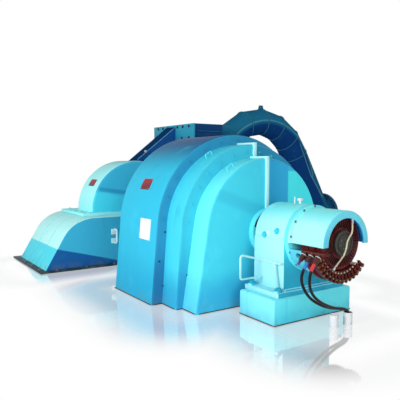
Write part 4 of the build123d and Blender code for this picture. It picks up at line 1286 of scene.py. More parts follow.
@dataclass
class SheetPlate:
    """A flat plate on the leaning left leg of an arch about the shaft."""

    name: str
    radius: float
    lean: float
    drop: float
    height: float
    width: float
    front: float
    thick: float = 0.004
    sunk: float = 0.002
    border: float = 0.007
    border_edge: float = 0.0085
    rivet_inset: float = 0.013
    rivet: float = 0.01

    def facing(self) -> Vector:
        """The way the plate faces."""
        return Vector((-math.cos(self.lean), 0.0, math.sin(self.lean)))

    def at(self, across: float, rise: float, lift: float) -> Vector:
        """A point at a distance from the plate's first side, one from its lower edge and one over the leg."""
        out, up = self.facing(), Vector((math.sin(self.lean), 0.0, math.cos(self.lean)))
        centre = Vector((0.0, self.front - across, SHAFT_Z))
        return centre + out * (self.radius + lift) + up * (rise - self.drop)

    def ring(self, inset: float, lift: float) -> list[Vector]:
        """Corners of the plate at an inset from its edges and a height over the leg."""
        far, top = self.width - inset, self.height - inset
        return [self.at(across, rise, lift)
                for across, rise in ((inset, inset), (far, inset), (far, top), (inset, top))]

    def build(self, fitter: Fitter) -> None:
        """Builds the plate with a raised border, and its rivets."""
        shape = bmesh.new()
        loft(shape, [self.ring(inset, lift) for inset, lift in (
            (0.0, -self.sunk), (0.0, self.thick), (self.border, self.thick),
            (self.border_edge, self.thick / 2))])
        settle(self.name, shape, Tone.WHITE_PLATE)
        corners = self.ring(self.rivet_inset, self.thick)
        order = (corners[0], corners[3], corners[1], corners[2])
        spots = [Spot(tuple(corner), tuple(self.facing()), ALONG) for corner in order]
        fitter.stamp(f"{self.name}_rivets", rivet_head, spots, self.rivet, Tone.STEEL)


@dataclass
class GeneratorHood:
    """The stepped hood with its end covers, seal, split strips, bolts, staples and plates."""

    half_length: float = 0.487
    step: float = 0.304
    end_step: float = 0.269
    set_back: float = 0.025
    arch: Flat = (1.11, 1.19)
    step_arch: Flat = (0.986, 1.052)
    end_arch: Flat = (0.824, 0.97)
    step_bar_x: float = 0.045
    end_bar_x: float = 0.005
    seal_bore: float = 0.228
    seal_radius: float = 0.264
    seal_reach: float = 0.07
    seal_edge: float = 0.008
    groove: Flat = (0.229, 0.254)
    groove_deep: float = 0.004
    groove_proud: float = 0.003
    sealant_corner: float = 0.02
    bolt: float = 0.024
    hood_bolt_ring: float = 1.045
    step_bolt_ring: float = 0.905
    bare_bolt: float = 0.017
    bare_bolts: tuple[Flat, ...] = ((-1.009, 0.815), (-1.084, 0.49), (-1.04, 0.208), (1.06, 0.815),
                                    (1.11, 0.3))
    bare_step_bolt: Flat = (-0.909, 0.371)
    bare_right_bolt: Flat = (0.7, 1.44)
    staple_turn: float = 121.0
    staple_half: float = 0.045
    staple_height: float = 0.048
    staple_sunk: float = 0.004
    staple_rod: float = 0.006

    @property
    def step_front(self) -> float:
        """Place of the step covers' front."""
        return -self.half_length - self.step

    @property
    def end_front(self) -> float:
        """Place of the end covers' front."""
        return self.step_front - self.end_step

    def covers(self) -> list[ArchCover]:
        """The middle arch and the four halves in front of it."""
        second, third, back = self.step_front, self.end_front, self.set_back
        return [
            ArchCover("hood_arch", "main_hood", *self.arch, -self.half_length, self.half_length,
                      Tone.HOOD, Tone.HOOD_SHADE),
            ArchCover("step_cover_left", "left_step_2", *self.step_arch, second, -self.half_length,
                      Tone.STEP, Tone.STEP_SHADE, edge_x=self.step_bar_x),
            ArchCover("end_cover_left", "left_step_3", *self.end_arch, third, second,
                      Tone.COVER, Tone.COVER_FRONT, edge_x=self.end_bar_x, bore=self.seal_radius),
            ArchCover("step_cover_right", "right_step_2", *self.step_arch, second + back, -self.half_length,
                      Tone.STEP, Tone.HOOD_SHADE, edge_x=self.step_bar_x, left=False),
            ArchCover("end_cover_right", "right_step_3", *self.end_arch, third + back, second + back,
                      Tone.COVER, Tone.COVER_RIGHT, edge_x=self.end_bar_x, left=False),
        ]

    def seal(self) -> None:
        """Seal ring round the shaft, and the shadowed groove in its left side."""
        front = self.end_front - self.seal_reach
        profile = rounded_profile(self.seal_bore, self.seal_radius, front, self.end_front + self.set_back,
                                  self.seal_edge)
        settle("seal_ring_body", lathe(bmesh.new(), profile), Tone.COVER, stands_for=["seal_ring"])
        inner, outer = self.groove
        near, far = front - self.groove_proud, front + self.groove_deep
        groove = lathe(bmesh.new(), [(inner, near), (outer, near), (outer, far), (inner, far)], 40,
                       start=92.0, sweep=72.0)
        settle("seal_groove", groove, Tone.GASKET)

    def sealant(self, fitter: Fitter) -> None:
        """Thin dark bead along the covers' feet on the floor: a painted contact shadow."""
        lines = []
        for cover in self.covers():
            whole = cover.edge_x is None
            for sign in (-1.0, 1.0) if whole else ((-1.0,) if cover.left else (1.0,)):
                outer = sign * cover.foot
                lines.append([(0.0 if whole else cover.edge_x, cover.y0),
                              (outer - sign * self.sealant_corner, cover.y0),
                              (outer, cover.y0 + self.sealant_corner), (outer, cover.y1)])
        fitter.sealant("foot_sealant", lines)

    def bolts(self, fitter: Fitter) -> None:
        """Bolts along the rebates of the covers, painted over in the rebates' painted-shade tones but for a
        few.
        """
        right = self.step_front + self.set_back
        spots = ring_spots(self.hood_bolt_ring, -self.half_length, 13, 8.0, 164.0)
        fitter.stamp("hood_bolts", hex_bolt, spots, self.bolt, Tone.HOOD_SHADE)
        spots = (ring_spots(self.step_bolt_ring, self.step_front, 7, 96.0, 76.0)
                 + ring_spots(self.step_bolt_ring, right, 7, 8.0, 74.0))
        fitter.stamp("step_bolts", hex_bolt, spots, self.bolt, Tone.STEP_SHADE)
        places = [(*place, -self.half_length) for place in self.bare_bolts]
        places += [(*self.bare_step_bolt, self.step_front), (*self.bare_right_bolt, right)]
        fitter.stamp("hood_bolts_bare", hex_bolt, [Spot((x, y, z), FORWARD) for x, z, y in places],
                     self.bare_bolt, Tone.GASKET)

    def staples(self, fitter: Fitter) -> None:
        """Bent-rod lifting staples on the shoulders of the left covers."""
        turn = math.radians(self.staple_turn)
        up = Vector((math.cos(turn), 0.0, math.sin(turn)))
        along = Vector((-up.z, 0.0, up.x)) * self.staple_half
        rise = up * self.staple_height
        lines = []
        for (radius, _), y in ((self.step_arch, -self.half_length - self.step / 2),
                               (self.end_arch, self.step_front - self.end_step / 2)):
            foot = Vector((0.0, y, SHAFT_Z)) + up * (radius - self.staple_sunk)
            lines.append([tuple(corner) for corner in (foot - along, foot - along + rise,
                                                       foot + along + rise, foot + along)])
        fitter.bead("lifting_staples", lines, self.staple_rod, Tone.COVER, pitch=0.01, ripple=0.0)

    def plates(self, fitter: Fitter) -> None:
        """The bare plates on the arch's left side, with their rivets."""
        ArchPlate("name_plate_hood", self.arch[0], 148.6, 155.9, -0.118, 0.1,
                  Tone.RED_PLATE).build(fitter, "name_plate_rivets")
        SheetPlate("notice_plate", self.arch[0], lean=0.0916, drop=0.214, height=0.24, width=0.25,
                   front=-0.087).build(fitter)

    def build(self, fitter: Fitter) -> None:
        """Builds the hood."""
        for cover in self.covers():
            cover.build()
        self.seal()
        self.sealant(fitter)
        self.bolts(fitter)
        self.staples(fitter)
        self.plates(fitter)
        dress("split_flanges", "edge_strips", Tone.SPLIT_BAR, 0.003)


@dataclass
class Bearing:
    """A pedestal bearing on its plinth."""

    side: Side
    bolt: float = 0.062
    bolt_inset: Flat = (0.05, 0.06)
    plugs: tuple[Flat, ...] = ((-0.115, 0.899), (0.065, 0.846))
    plug: float = 0.052
    bright_plugs: tuple[Flat, ...] = ((0.016, 0.869),)
    bright_plug: float = 0.03

    def named(self, part: str) -> str:
        """The name of a part on this side."""
        return f"{self.side.value}_{part}"

    def build(self, fitter: Fitter) -> None:
        """Builds the plinth, foot, body and cap with their bolts."""
        # Front faces take the darker copies: painted shade.
        plinth, front = ([(lambda normal, centre: normal.y < -0.7, tone)]
                         for tone in (Tone.PLINTH_FRONT, Tone.PALE_FRONT))
        dress(self.named("plinth"), self.named("plinth_block"), Tone.PLINTH, 0.01, plinth)
        dress(self.named("foot"), self.named("foot_plate"), Tone.PALE, 0.004, front)
        dress(self.named("pedestal"), self.named("pedestal_body"), Tone.PALE, 0.005, front)
        dress(self.named("bearing_cap"), self.named("cap_body"), Tone.PALE, 0.003)
        low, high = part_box(self.named("foot"))
        in_x, in_y = self.bolt_inset
        spots = [Spot((x, y, high.z), UP) for x in (low.x + in_x, high.x - in_x)
                 for y in (low.y + in_y, high.y - in_y)]
        fitter.stamp(self.named("foot_bolts"), hex_bolt, spots, self.bolt, Tone.PALE_FRONT)
        self.oil_plugs(fitter, "plugs", self.plugs, self.plug, Tone.STEP)
        self.oil_plugs(fitter, "plug_bright", self.bright_plugs, self.bright_plug, Tone.GRAB)
        low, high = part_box(self.named("plinth"))
        corners = [(low.x, high.y), (low.x, low.y), (high.x, low.y), (high.x, high.y)]
        # A thin dark bead round the plinth's foot: a painted contact shadow.
        fitter.sealant(self.named("plinth_sealant"), [corners], closed=True)

    def oil_plugs(self, fitter: Fitter, name: str, places: Sequence[Flat], size: float, tone: Tone) -> None:
        """Oil plugs on the left side of the cap and body.

        Args:
            fitter: stamps them.
            name: the piece's name after the side's.
            places: distance behind the cap's middle, and height, of each.
            size: across the corners.
            tone: their finish.
        """
        low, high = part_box(self.named("bearing_cap"))
        radius, middle = high.z - SHAFT_Z, (low.y + high.y) / 2
        spots = []
        for shift, z in places:
            angle = math.pi - math.asin((z - SHAFT_Z) / radius)
            out = (math.cos(angle), 0.0, math.sin(angle))
            spots.append(Spot((radius * out[0], middle + shift, SHAFT_Z + radius * out[2]), out, ALONG))
        fitter.stamp(self.named(name), hex_bolt, spots, size, tone)


@dataclass
class ShaftLine:
    """The shaft and the two liners that it runs in."""

    radius: float = 0.11
    fit: float = 0.0003
    wall: float = 0.04
    chamfer: float = 0.003
    steps: int = 160

    def build(self) -> None:
        """Builds the shaft and its liners."""
        low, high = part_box("main_shaft")
        edge = self.radius - self.chamfer
        shaft = lathe(bmesh.new(), [(0.0, low.y), (edge, low.y), (self.radius, low.y + self.chamfer),
                                    (self.radius, high.y - self.chamfer), (edge, high.y), (0.0, high.y)],
                      self.steps)
        settle("shaft_line", shaft, Tone.SHAFT, Body.ROTOR, ["main_shaft"])
        inner, outer = self.radius + self.fit, self.radius + self.wall
        liners = bmesh.new()
        for side in Side:
            low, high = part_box(f"{side.value}_bearing_cap")
            lathe(liners, [(inner, low.y), (outer, low.y), (outer, high.y), (inner, high.y)], self.steps)
        settle("liner_pair", liners, Tone.BRONZE, stands_for=["bearing_liners"])


@dataclass(frozen=True)
class Lead:
    """A free cord that replaces its CAD solid."""

    name: str
    node: str
    route: tuple[Point, ...]
    diameter: float
    length: float
    tone: Tone
    slot: Slot
    stiffness: Stiffness = Stiffness.MEDIUM
    steps: int = 12
    bevel_steps: int = 5
    order: int = 3

    def curve(self, bevel: float) -> Piece:
        """The route as one smooth spline.

        Args:
            bevel: the tube's radius, 0 for a bare line.

        Returns:
            The curve's object.
        """
        data = bpy.data.curves.new(self.name, "CURVE")
        data.dimensions = "3D"
        data.resolution_u = self.steps
        data.bevel_depth = bevel
        data.bevel_resolution = self.bevel_steps
        data.use_fill_caps = True
        spline = data.splines.new("NURBS")
        spline.points.add(len(self.route) - 1)
        for point, place in zip(spline.points, self.route):
            point.co = (*place, 1.0)
        spline.order_u = self.order
        spline.use_endpoint_u = True
        return add_object(self.name, data)

    def line(self) -> list[Vector]:
        """Points along the spline, in order."""
        bare = self.curve(0.0)
        graph = bpy.context.evaluated_depsgraph_get()
        mesh = bpy.data.meshes.new_from_object(bare.evaluated_get(graph), depsgraph=graph)
        points = [vertex.co.copy() for vertex in mesh.vertices]
        bpy.data.objects.remove(bare)
        bpy.data.meshes.remove(mesh)
        return points

    def build(self, with_pieces: Sequence[Piece] = ()) -> None:
        cord = self.curve(self.diameter / 2)
        cord.data.materials.append(material(self.tone))
        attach(cord, Body.MACHINE.value)
        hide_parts(self.node)
        list(with_pieces)
        LOG.info("cord %s", self.name)


@dataclass
class Leads:
    """The collector leads with their sleeves, and the pale lead across the open end."""

    middle: Lead = Lead("lead_middle", "lead_1", (
        (-0.45621, -2.135, 0.67958), (-0.48297, -2.135, 0.64985), (-0.522, -2.133, 0.573),
        (-0.523, -2.132, 0.521), (-0.505, -2.131, 0.467), (-0.467, -2.13, 0.403),
        (-0.407, -2.128, 0.341), (-0.33, -2.126, 0.287), (-0.225, -2.124, 0.234),
        (-0.1, -2.121, 0.191), (0.12, -2.119, 0.158), (0.12, -2.119, 0.075)),
        0.028, 1.029, Tone.CABLE, Slot.BLACK_CABLE, Stiffness.STIFF)
    front: Lead = Lead("lead_front", "lead_2", (
        (-0.45621, -2.222, 0.67958), (-0.48297, -2.222, 0.64985), (-0.497, -2.217, 0.598),
        (-0.503, -2.213, 0.546), (-0.498, -2.208, 0.493), (-0.472, -2.2, 0.431),
        (-0.415, -2.19, 0.364), (-0.327, -2.178, 0.303), (-0.22, -2.166, 0.249),
        (-0.088, -2.157, 0.197), (0.12, -2.151, 0.158), (0.12, -2.151, 0.075)),
        0.028, 1.006, Tone.CABLE, Slot.BLACK_CABLE, Stiffness.STIFF)
    pale: Lead = Lead("lead_pale", "earth_lead", (
        (0.088, -2.191, 1.012), (0.091, -2.192, 0.962), (0.078, -2.195, 0.916), (0.042, -2.196, 0.88),
        (0.012, -2.196, 0.838), (0.004, -2.196, 0.78), (-0.022, -2.195, 0.722),
        (-0.066, -2.194, 0.676), (-0.112, -2.192, 0.64), (-0.152, -2.191, 0.602)),
        0.016, 0.497, Tone.CREAM, Slot.CREAM_CABLE)
    sleeve: float = 0.07
    sleeve_radius: float = 0.0158

    def sleeve_on(self, fitter: Fitter, name: str, lead: Lead, tone: Tone) -> Piece:
        """Coloured sleeve on the first stretch of a lead.

        Args:
            fitter: lays the sleeve.
            name: the sleeve's name.
            lead: the lead it is on.
            tone: its finish.

        Returns:
            The sleeve.
        """
        points, run = [], 0.0
        line = lead.line()
        for before, here in zip(line, line[1:]):
            points.append(tuple(before))
            run += (here - before).length
            if run > self.sleeve:
                break
        return fitter.bead(name, [points], self.sleeve_radius, tone, pitch=0.005, ripple=0.0,
                           slot=Slot.PLASTIC)

    def build(self, fitter: Fitter) -> None:
        """Builds the three cords."""
        self.middle.build([self.sleeve_on(fitter, "sleeve_middle", self.middle, Tone.SLEEVE_BLUE)])
        self.front.build([self.sleeve_on(fitter, "sleeve_front", self.front, Tone.SLEEVE_RED)])
        self.pale.build()


@dataclass
class TurbineCasing:
    """Lower casing with its discharge chute, the split flange and the arch above it."""

    front_y: float = 1.876
    rear_y: float = 3.236
    foot_z: float = 0.022
    top_z: float = 0.757
    right_x: float = 1.2
    top_x: float = -0.9
    foot_x: float = -1.65
    knee: Flat = (-1.386, 0.47)
    bend_steps: int = 24
    rounding: float = 0.016
    arch_radius: float = 0.8
    arch_y0: float = 2.2
    arch_y1: float = 2.836
    arch_roll: float = 0.042
    arch_steps: int = 72
    split_top: float = 0.802
    chute_seam_y: Flat = (2.349, 2.774)
    chute_seam_run: float = 0.12
    chute_seam: float = 0.005
    arch_seam_back: float = 0.06
    arch_seam_sunk: float = 0.004
    arch_seam: float = 0.006
    split_bolt_x: tuple[float, ...] = (-0.86, -0.5, -0.14, 0.22, 0.58, 0.94)
    split_bolt_y: Flat = (2.142, 3.065)
    side_bolt_x: float = -0.915
    side_bolt_y: tuple[float, ...] = (2.35, 2.6, 2.85)
    split_bolt: float = 0.04
    hub_ring: float = 0.3
    hub_length: float = 0.06
    hub_bolt: float = 0.034
    floor_bolt_x: tuple[float, ...] = (-1.5, -1.05, -0.6, 0.3, 0.75, 1.15)
    floor_bolt_y: tuple[float, ...] = (2.0, 2.37, 2.74, 3.1)
    floor_bolt_out: float = 0.055
    floor_bolt: float = 0.036
    pad_x: Flat = (-0.622, -0.536)
    pad_z: tuple[Flat, ...] = ((0.474, 0.562), (0.334, 0.416))
    pad_thick: float = 0.014
    pad_edge: float = 0.006

    def crest(self, inset: float) -> Loop:
        """The chute's outline from its foot to the casing top, drawn in by an inset.

        Args:
            inset: how far it is drawn in.

        Returns:
            The outline's corners.
        """
        run, fall = self.top_x - self.knee[0], self.top_z - self.knee[1]
        radius = (run ** 2 + fall ** 2) / (2 * fall)
        centre = (self.top_x, self.top_z - radius)
        slope = Vector((self.knee[0] - self.foot_x, self.knee[1] - self.foot_z)).normalized()
        first = math.atan2(self.knee[1] - centre[1], self.knee[0] - centre[0])
        bend = arc(radius - inset, first, math.pi / 2, self.bend_steps, centre)
        return [(self.foot_x + inset / slope.y, self.foot_z)] + bend

    def outline(self, inset: float) -> Loop:
        """Outline of the chute and lower casing, drawn in by an inset."""
        right = self.right_x - inset
        return self.crest(inset) + [(right, self.top_z - inset), (right, self.foot_z)]

    def arch_line(self, inset: float, steps: int) -> Loop:
        """Outline of the upper cover over the split, drawn in by an inset."""
        radius = self.arch_radius - inset
        start = math.asin((self.split_top - SHAFT_Z) / radius)
        return arc(radius, start, math.pi - start, steps)

    def shell(self) -> None:
        """Chute and lower casing as one welded sheet body."""
        shape = draw_out(self.outline, rolled(self.rounding, self.front_y, self.rear_y, 4))
        # Faces that look left, and the tops, take the paler copy: painted light.
        pale = (lambda n, c: n.x < -0.1 and abs(n.y) < 0.7 or (n.z > 0.5 and c.x < 1.1), Tone.CHUTE)
        settle("casing_shell", shape, Tone.CASING, stands_for=["discharge_chute", "lower_casing"],
               marks=[pale])

    def arch(self) -> None:
        """Half-round upper cover with its front edge rolled over."""
        shape = draw_out(lambda inset: self.arch_line(inset, self.arch_steps),
                         rolled(self.arch_roll, self.arch_y0, self.arch_y1, 6))
        # Front faces take the darker copy: painted shade.
        settle("runner_cover", shape, Tone.ARCH, stands_for=["upper_casing"],
               marks=[(lambda n, c: abs(n.y) > 0.75, Tone.ARCH_FRONT)])

    def seams(self, fitter: Fitter) -> None:
        """Weld seams over the chute, and the bead round the foot of the arch."""
        lines = [[(x, y, z) for x, z in self.crest(0.0) + [(self.top_x + self.chute_seam_run, self.top_z)]]
                 for y in self.chute_seam_y]
        fitter.bead("chute_seams", lines, self.chute_seam, Tone.SEAM)
        y = self.arch_y0 + self.arch_seam_back
        line = [(x, y, z) for x, z in self.arch_line(self.arch_seam_sunk, 60)]
        fitter.bead("cover_seam", [line], self.arch_seam, Tone.ARCH)

    def bolts(self, fitter: Fitter) -> None:
        """Bolts of the split flange, the hub and the floor flange."""
        places = [(x, y) for y in self.split_bolt_y for x in self.split_bolt_x]
        places += [(self.side_bolt_x, y) for y in self.side_bolt_y]
        fitter.stamp("split_flange_bolts", hex_bolt, [Spot((x, y, self.split_top), UP) for x, y in places],
                     self.split_bolt, Tone.COVER)
        spots = ring_spots(self.hub_ring, self.front_y - self.hub_length, 12, 15.0)
        fitter.stamp("hub_bolts", hex_bolt, spots, self.hub_bolt, Tone.BOLT)
        places = [(x, self.front_y - self.floor_bolt_out) for x in self.floor_bolt_x]
        places += [(self.foot_x - self.floor_bolt_out, y) for y in self.floor_bolt_y]
        fitter.stamp("floor_flange_bolts", hex_bolt, [Spot((x, y, self.foot_z), UP) for x, y in places],
                     self.floor_bolt, Tone.BOLT)

    def pads(self) -> None:
        """Two pads that the grab handle is welded to."""
        shape = bmesh.new()
        for z0, z1 in self.pad_z:
            solid_box(shape, (self.pad_x[0], self.front_y - self.pad_thick, z0),
                      (self.pad_x[1], self.front_y, z1), self.pad_edge)
        settle("grab_pads", shape, Tone.GRAB)

    def build(self, fitter: Fitter) -> None:
        """Builds the casing."""
        self.shell()
        self.arch()
        self.seams(fitter)
        self.bolts(fitter)
        ArchPlate("name_plate_cover", self.arch_radius, 141.8, 150.8, 2.365, 2.59,
                  Tone.RED_PLATE_LOW).build(fitter, "name_plate_cover_rivets")
        for node, name, tone, width in (
                ("casing_split", "split_flange", Tone.ARCH, 0.004),
                ("base_plate", "floor_flange", Tone.FOOT_EDGE, 0.003),
                ("casing_hub", "shaft_hub", Tone.CASING, 0.006),
                ("shaft_guard", "shaft_guard_tube", Tone.STEP, 0.004),
                ("grab_handle", "grab_bow", Tone.GRAB, 0.0)):
            dress(node, name, tone, width)
        self.pads()


@dataclass
class Headworks:
    """Sloped duct, nozzle chamber and the box above it."""

    flange_x: float = 0.88
    upper_bolt_z: float = 2.214
    upper_bolt_y: tuple[float, ...] = (1.97, 2.17, 2.35, 2.68, 2.86, 3.04)
    lower_bolt_z: float = 2.02
    lower_bolt_y: tuple[float, ...] = (1.97, 2.2, 2.9, 3.1)
    bolt: float = 0.036
    edge: tuple[Point, ...] = ((0.12, 2.421, 1.64), (0.872, 2.421, 2.212))
    edge_radius: float = 0.005
    fitting: Point = (0.277, 2.418, 1.781)
    fitting_size: float = 0.05

    def build(self, fitter: Fitter) -> None:
        """Builds the duct, chamber and box with the bolts of the box's flange."""
        dress("sloped_duct", "duct_body", Tone.DUCT, 0.005, [(lambda n, c: n.z > 0.4, Tone.DUCT_TOP)])
        dress("nozzle_chamber", "chamber_body", Tone.BOX, 0.006)
        dress("top_box", "box_body", Tone.BOX_FRONT, 0.005,
              [(lambda n, c: n.y < -0.7 and c.z > 2.13, Tone.BOX)])
        dress("box_flange", "box_face_flange", Tone.BOX_FLANGE, 0.004)
        rows = ((self.upper_bolt_z, self.upper_bolt_y), (self.lower_bolt_z, self.lower_bolt_y))
        spots = [Spot((self.flange_x, y, z), (-1.0, 0.0, 0.0), ALONG) for z, row in rows for y in row]
        fitter.stamp("box_flange_bolts", hex_bolt, spots, self.bolt, Tone.GASKET)
        # A pale bead along the duct's top edge: a painted highlight.
        fitter.bead("duct_edge", [self.edge], self.edge_radius, Tone.EDGE_PALE, ripple=0.2)
        fitter.stamp("duct_fitting", rivet_head, [Spot(self.fitting, FORWARD)], self.fitting_size, Tone.STEEL)


@dataclass
class BranchPipe:
    """Mitred, tapering branch pipe with its flanges, seams, lug and saddles."""

    centre_x: float = 2.95
    centre_z: float = 1.2
    pipe_y: float = 2.518
    angles: tuple[float, ...] = (-41.0, -20.0, 0.0, 20.0, 40.0, 60.0)
    reach: tuple[float, ...] = (1.2, 1.215, 1.209, 1.17, 1.118, 1.074)
    radii: tuple[float, ...] = (0.256, 0.256, 0.258, 0.264, 0.273, 0.28)
    inlet_z: float = 0.46
    inlet_seams: tuple[Flat, ...] = ((4.03, 0.336), (3.78, 0.257), (4.744, 0.338))
    seam: float = 0.009
    seam_lift: float = 0.001
    seam_points: int = 72

    def joint(self, tilt: float, reach: float, radius: float) -> list[Point]:
        """The seam circle at a joint of the bend.

        Args:
            tilt: its angle in degrees from upright.
            reach: its centre's distance from the bend's.
            radius: the pipe's radius there.

        Returns:
            The circle's points.
        """
        turn = math.radians(tilt)
        out = Vector((math.sin(turn), 0.0, math.cos(turn)))
        centre = Vector((self.centre_x, self.pipe_y, self.centre_z)) + out * reach
        return [tuple(centre + out * along + Vector((0.0, across, 0.0)))
                for along, across in circle(radius + self.seam_lift, self.seam_points)]

    def build(self, fitter: Fitter) -> None:
        """Builds the pipe."""
        skins = [(node, Tone.BEND, 0.0) for node in ("nozzle_pipe", "bend_1", "bend_2", "bend_3", "bend_4",
                                                     "bend_5", "drop_pipe", "inlet_piece")]
        skins += [("inlet_flange", Tone.PIPE, 0.004), ("reducer", Tone.PIPE, 0.0),
                  ("lower_branch", Tone.PIPE, 0.0), ("pipe_flanges", Tone.PIPE, 0.004)]
        for node, tone, width in skins:
            dress(node, f"{node}_skin", tone, width)
        dress("lifting_lug", "lifting_eye", Tone.PIPE, 0.004)
        dress("saddles", "pipe_saddles", Tone.PIPE, 0.008)
        seams = [self.joint(*joint) for joint in zip(self.angles, self.reach, self.radii)]
        seams += [[(x, y, z) for y, z in circle(radius, self.seam_points, (self.pipe_y, self.inlet_z))]
                  for x, radius in self.inlet_seams]
        fitter.bead("pipe_seams", seams, self.seam, Tone.PIPE_SEAM, closed=True, slot=Slot.PIPE)


@dataclass
class CollectorEnd:
    """Open collector hood with the rotor end and the brush gear under it."""

    hood_radius: float = 0.32
    hood_wall: float = 0.024
    hood_front: float = -2.2
    hood_back: float = -1.76
    hood_roll: float = 0.012
    rim_radius: float = 0.245
    rim: float = 0.018
    rim_edge: float = 0.004
    flange_radius: float = 0.344
    flange: float = 0.028
    flange_edge: float = 0.003
    flange_fillet: float = 0.004
    flange_ring: float = 0.333
    flange_bolt: float = 0.019
    shaft_radius: float = 0.11
    drum_radius: float = 0.262
    drum_front: float = -2.135
    drum_length: float = 0.28
    drum_chamfer: float = 0.01
    band_shares: Flat = (0.3, 0.62)
    band_width: float = 0.016
    band_deep: float = 0.016
    band_slope: float = 0.002
    coil_ring: float = 0.192
    coils: int = 44
    disc_radius: float = 0.125
    disc: float = 0.04
    disc_bolt_ring: float = 0.048
    disc_bolt: float = 0.013
    brush_front: float = -2.15
    holder_radius: float = 0.342
    holder_half: float = 0.044
    holder_count: int = 15
    holder_start: float = 201.0
    holder_sweep: float = 118.0
    screw_rise: float = 0.013
    screw: float = 0.018
    stud_drop: float = 0.048
    stud: float = 0.016
    boot_y: tuple[float, float, float] = (-2.045, -2.135, -2.222)
    boot_x: float = -0.4
    boot_z: float = 0.742
    boot_tilt: float = 42.0
    boot_top: float = 0.017
    boot_top_rise: float = 0.009
    boot_side: tuple[Flat, ...] = (
        (0.018, 0.002), (0.0215, 0.01), (0.025, 0.02), (0.0268, 0.029), (0.027, 0.038),
        (0.026, 0.048), (0.0235, 0.06), (0.02, 0.072), (0.0172, 0.084), (0.0, 0.084))
    collar: Flat = (0.0238, 0.013)
    collar_radius: float = 0.003
    stub_stations: tuple[float, float, float] = (0.08, 0.1, 0.122)
    stub_radius: float = 0.0135

    def hood(self, fitter: Fitter) -> None:
        """Half-round hood with a rolled rim."""
        inner, outer = self.hood_radius - self.hood_wall, self.hood_radius
        front, back, joint = self.hood_front, self.hood_back, self.hood_back - self.flange
        lip, lip_back, lip_edge = self.rim_radius, front + self.rim, self.rim_edge
        profile = [(inner, back), (inner, lip_back), (lip + lip_edge, lip_back), (lip, lip_back - lip_edge),
                   (lip, front + lip_edge), (lip + lip_edge, front)]
        profile += [(outer - inset, y) for inset, y in roll(self.hood_roll, front, 4)]
        profile += [(outer, joint - self.flange_fillet), (outer + self.flange_fillet, joint),
                    (self.flange_radius - self.flange_edge, joint),
                    (self.flange_radius, joint + self.flange_edge), (self.flange_radius, back)]

        def inside(normal: Vector, centre: Vector) -> bool:
            """Whether a face looks at the shaft line."""
            return normal.x * centre.x + normal.z * (centre.z - SHAFT_Z) < -0.05

        # Faces inside the hood and the rim's front faces take darker copies of the paint: painted shade.
        settle("collector_shell", lathe(bmesh.new(), profile, 80, start=-2.69, sweep=185.38), Tone.PALE,
               stands_for=["collector_hood"],
               marks=[(inside, Tone.RIM_INSIDE), (lambda n, c: n.y < -0.6 and c.y < -2.1, Tone.RIM)])
        spots = (ring_spots(self.flange_ring, joint, 7, 8.0, 164.0)
                 + ring_spots(self.flange_ring, back, 6, 200.0, 140.0))
        fitter.stamp("collector_flange_bolts", hex_bolt, spots, self.flange_bolt, Tone.BOLT)

    def drum(self, fitter: Fitter) -> None:
        """Wound drum with its bands and coil ends."""
        front, back, radius = self.drum_front, self.drum_front + self.drum_length, self.drum_radius
        profile = [(self.shaft_radius, front), (radius - self.drum_chamfer, front),
                   (radius, front + self.drum_chamfer)]
        for share in self.band_shares:
            start = front + share * self.drum_length
            floor, end = radius - self.band_deep, start + self.band_width
            profile += [(radius, start), (floor, start + self.band_slope), (floor, end - self.band_slope),
                        (radius, end)]
        profile += [(radius, back - 0.004), (radius - 0.004, back), (self.shaft_radius, back)]
        settle("wound_drum", lathe(bmesh.new(), profile), Tone.VARNISH, Body.ROTOR, ["collector_drum"])
        fitter.stamp("coil_ends", coil_end, ring_spots(self.coil_ring, front, self.coils), 1.0,
                     Tone.DARK_VARNISH, Body.ROTOR, turn=0.0)

    def end_disc(self, fitter: Fitter) -> None:
        """Turned end disc with its bolts."""
        face, rim = self.drum_front - self.disc, self.disc_radius
        steps = ((0.0, 0.002), (0.03, 0.002), (0.034, 0.006), (0.062, 0.006), (0.066, 0.0), (0.08, 0.0),
                 (0.084, 0.01), (0.104, 0.01), (0.108, 0.0), (rim - 0.006, 0.0), (rim, 0.006))
        profile = [(radius, face + depth) for radius, depth in steps]
        profile += [(rim, self.drum_front), (0.0, self.drum_front)]
        settle("shaft_disc", lathe(bmesh.new(), profile, 80), Tone.DISC, Body.ROTOR, ["end_disc"],
               sharp=30.0)
        fitter.stamp("disc_bolts", hex_bolt, ring_spots(self.disc_bolt_ring, face + 0.006, 6, 20.0),
                     self.disc_bolt, Tone.BOLT, Body.ROTOR)

    def holder_spots(self, lift: float = 0.0, rise: float = 0.0) -> list[Spot]:
        """A spot for each brush holder, moved outwards and forward from its middle."""
        return ring_spots(self.holder_radius + lift, self.brush_front - rise, self.holder_count,
                          self.holder_start, self.holder_sweep)

    def brushes(self, fitter: Fitter) -> None:
        """Brush ring with its holders, clips and screws."""
        dress("brush_ring", "brush_rocker", Tone.VARNISH, 0.004)
        fitter.stamp("brush_blocks", brush_block, self.holder_spots(), 1.0, Tone.VARNISH, turn=0.0,
                     stands_for=["brush_holders"])
        fitter.stamp("brush_clips", brush_clip, self.holder_spots(), 1.0, Tone.BRASS, turn=0.0)
        screws = [Spot(spot.place, spot.across, ALONG)
                  for spot in self.holder_spots(self.holder_half, self.screw_rise)]
        fitter.stamp("brush_screws", hex_bolt, screws, self.screw, Tone.BRASS)
        fitter.stamp("brush_studs", hex_bolt, self.holder_spots(-self.stud_drop), self.stud, Tone.CREAM)

    def boot_place(self, y: float) -> Matrix:
        """Frame at the top of a boot, its Y axis down along the boot."""
        down = math.radians(180.0 + self.boot_tilt)
        direction = Vector((math.sin(down), 0.0, math.cos(down)))
        turn = Vector(ALONG).rotation_difference(direction).to_matrix().to_4x4()
        return Matrix.Translation((self.boot_x, y, self.boot_z)) @ turn

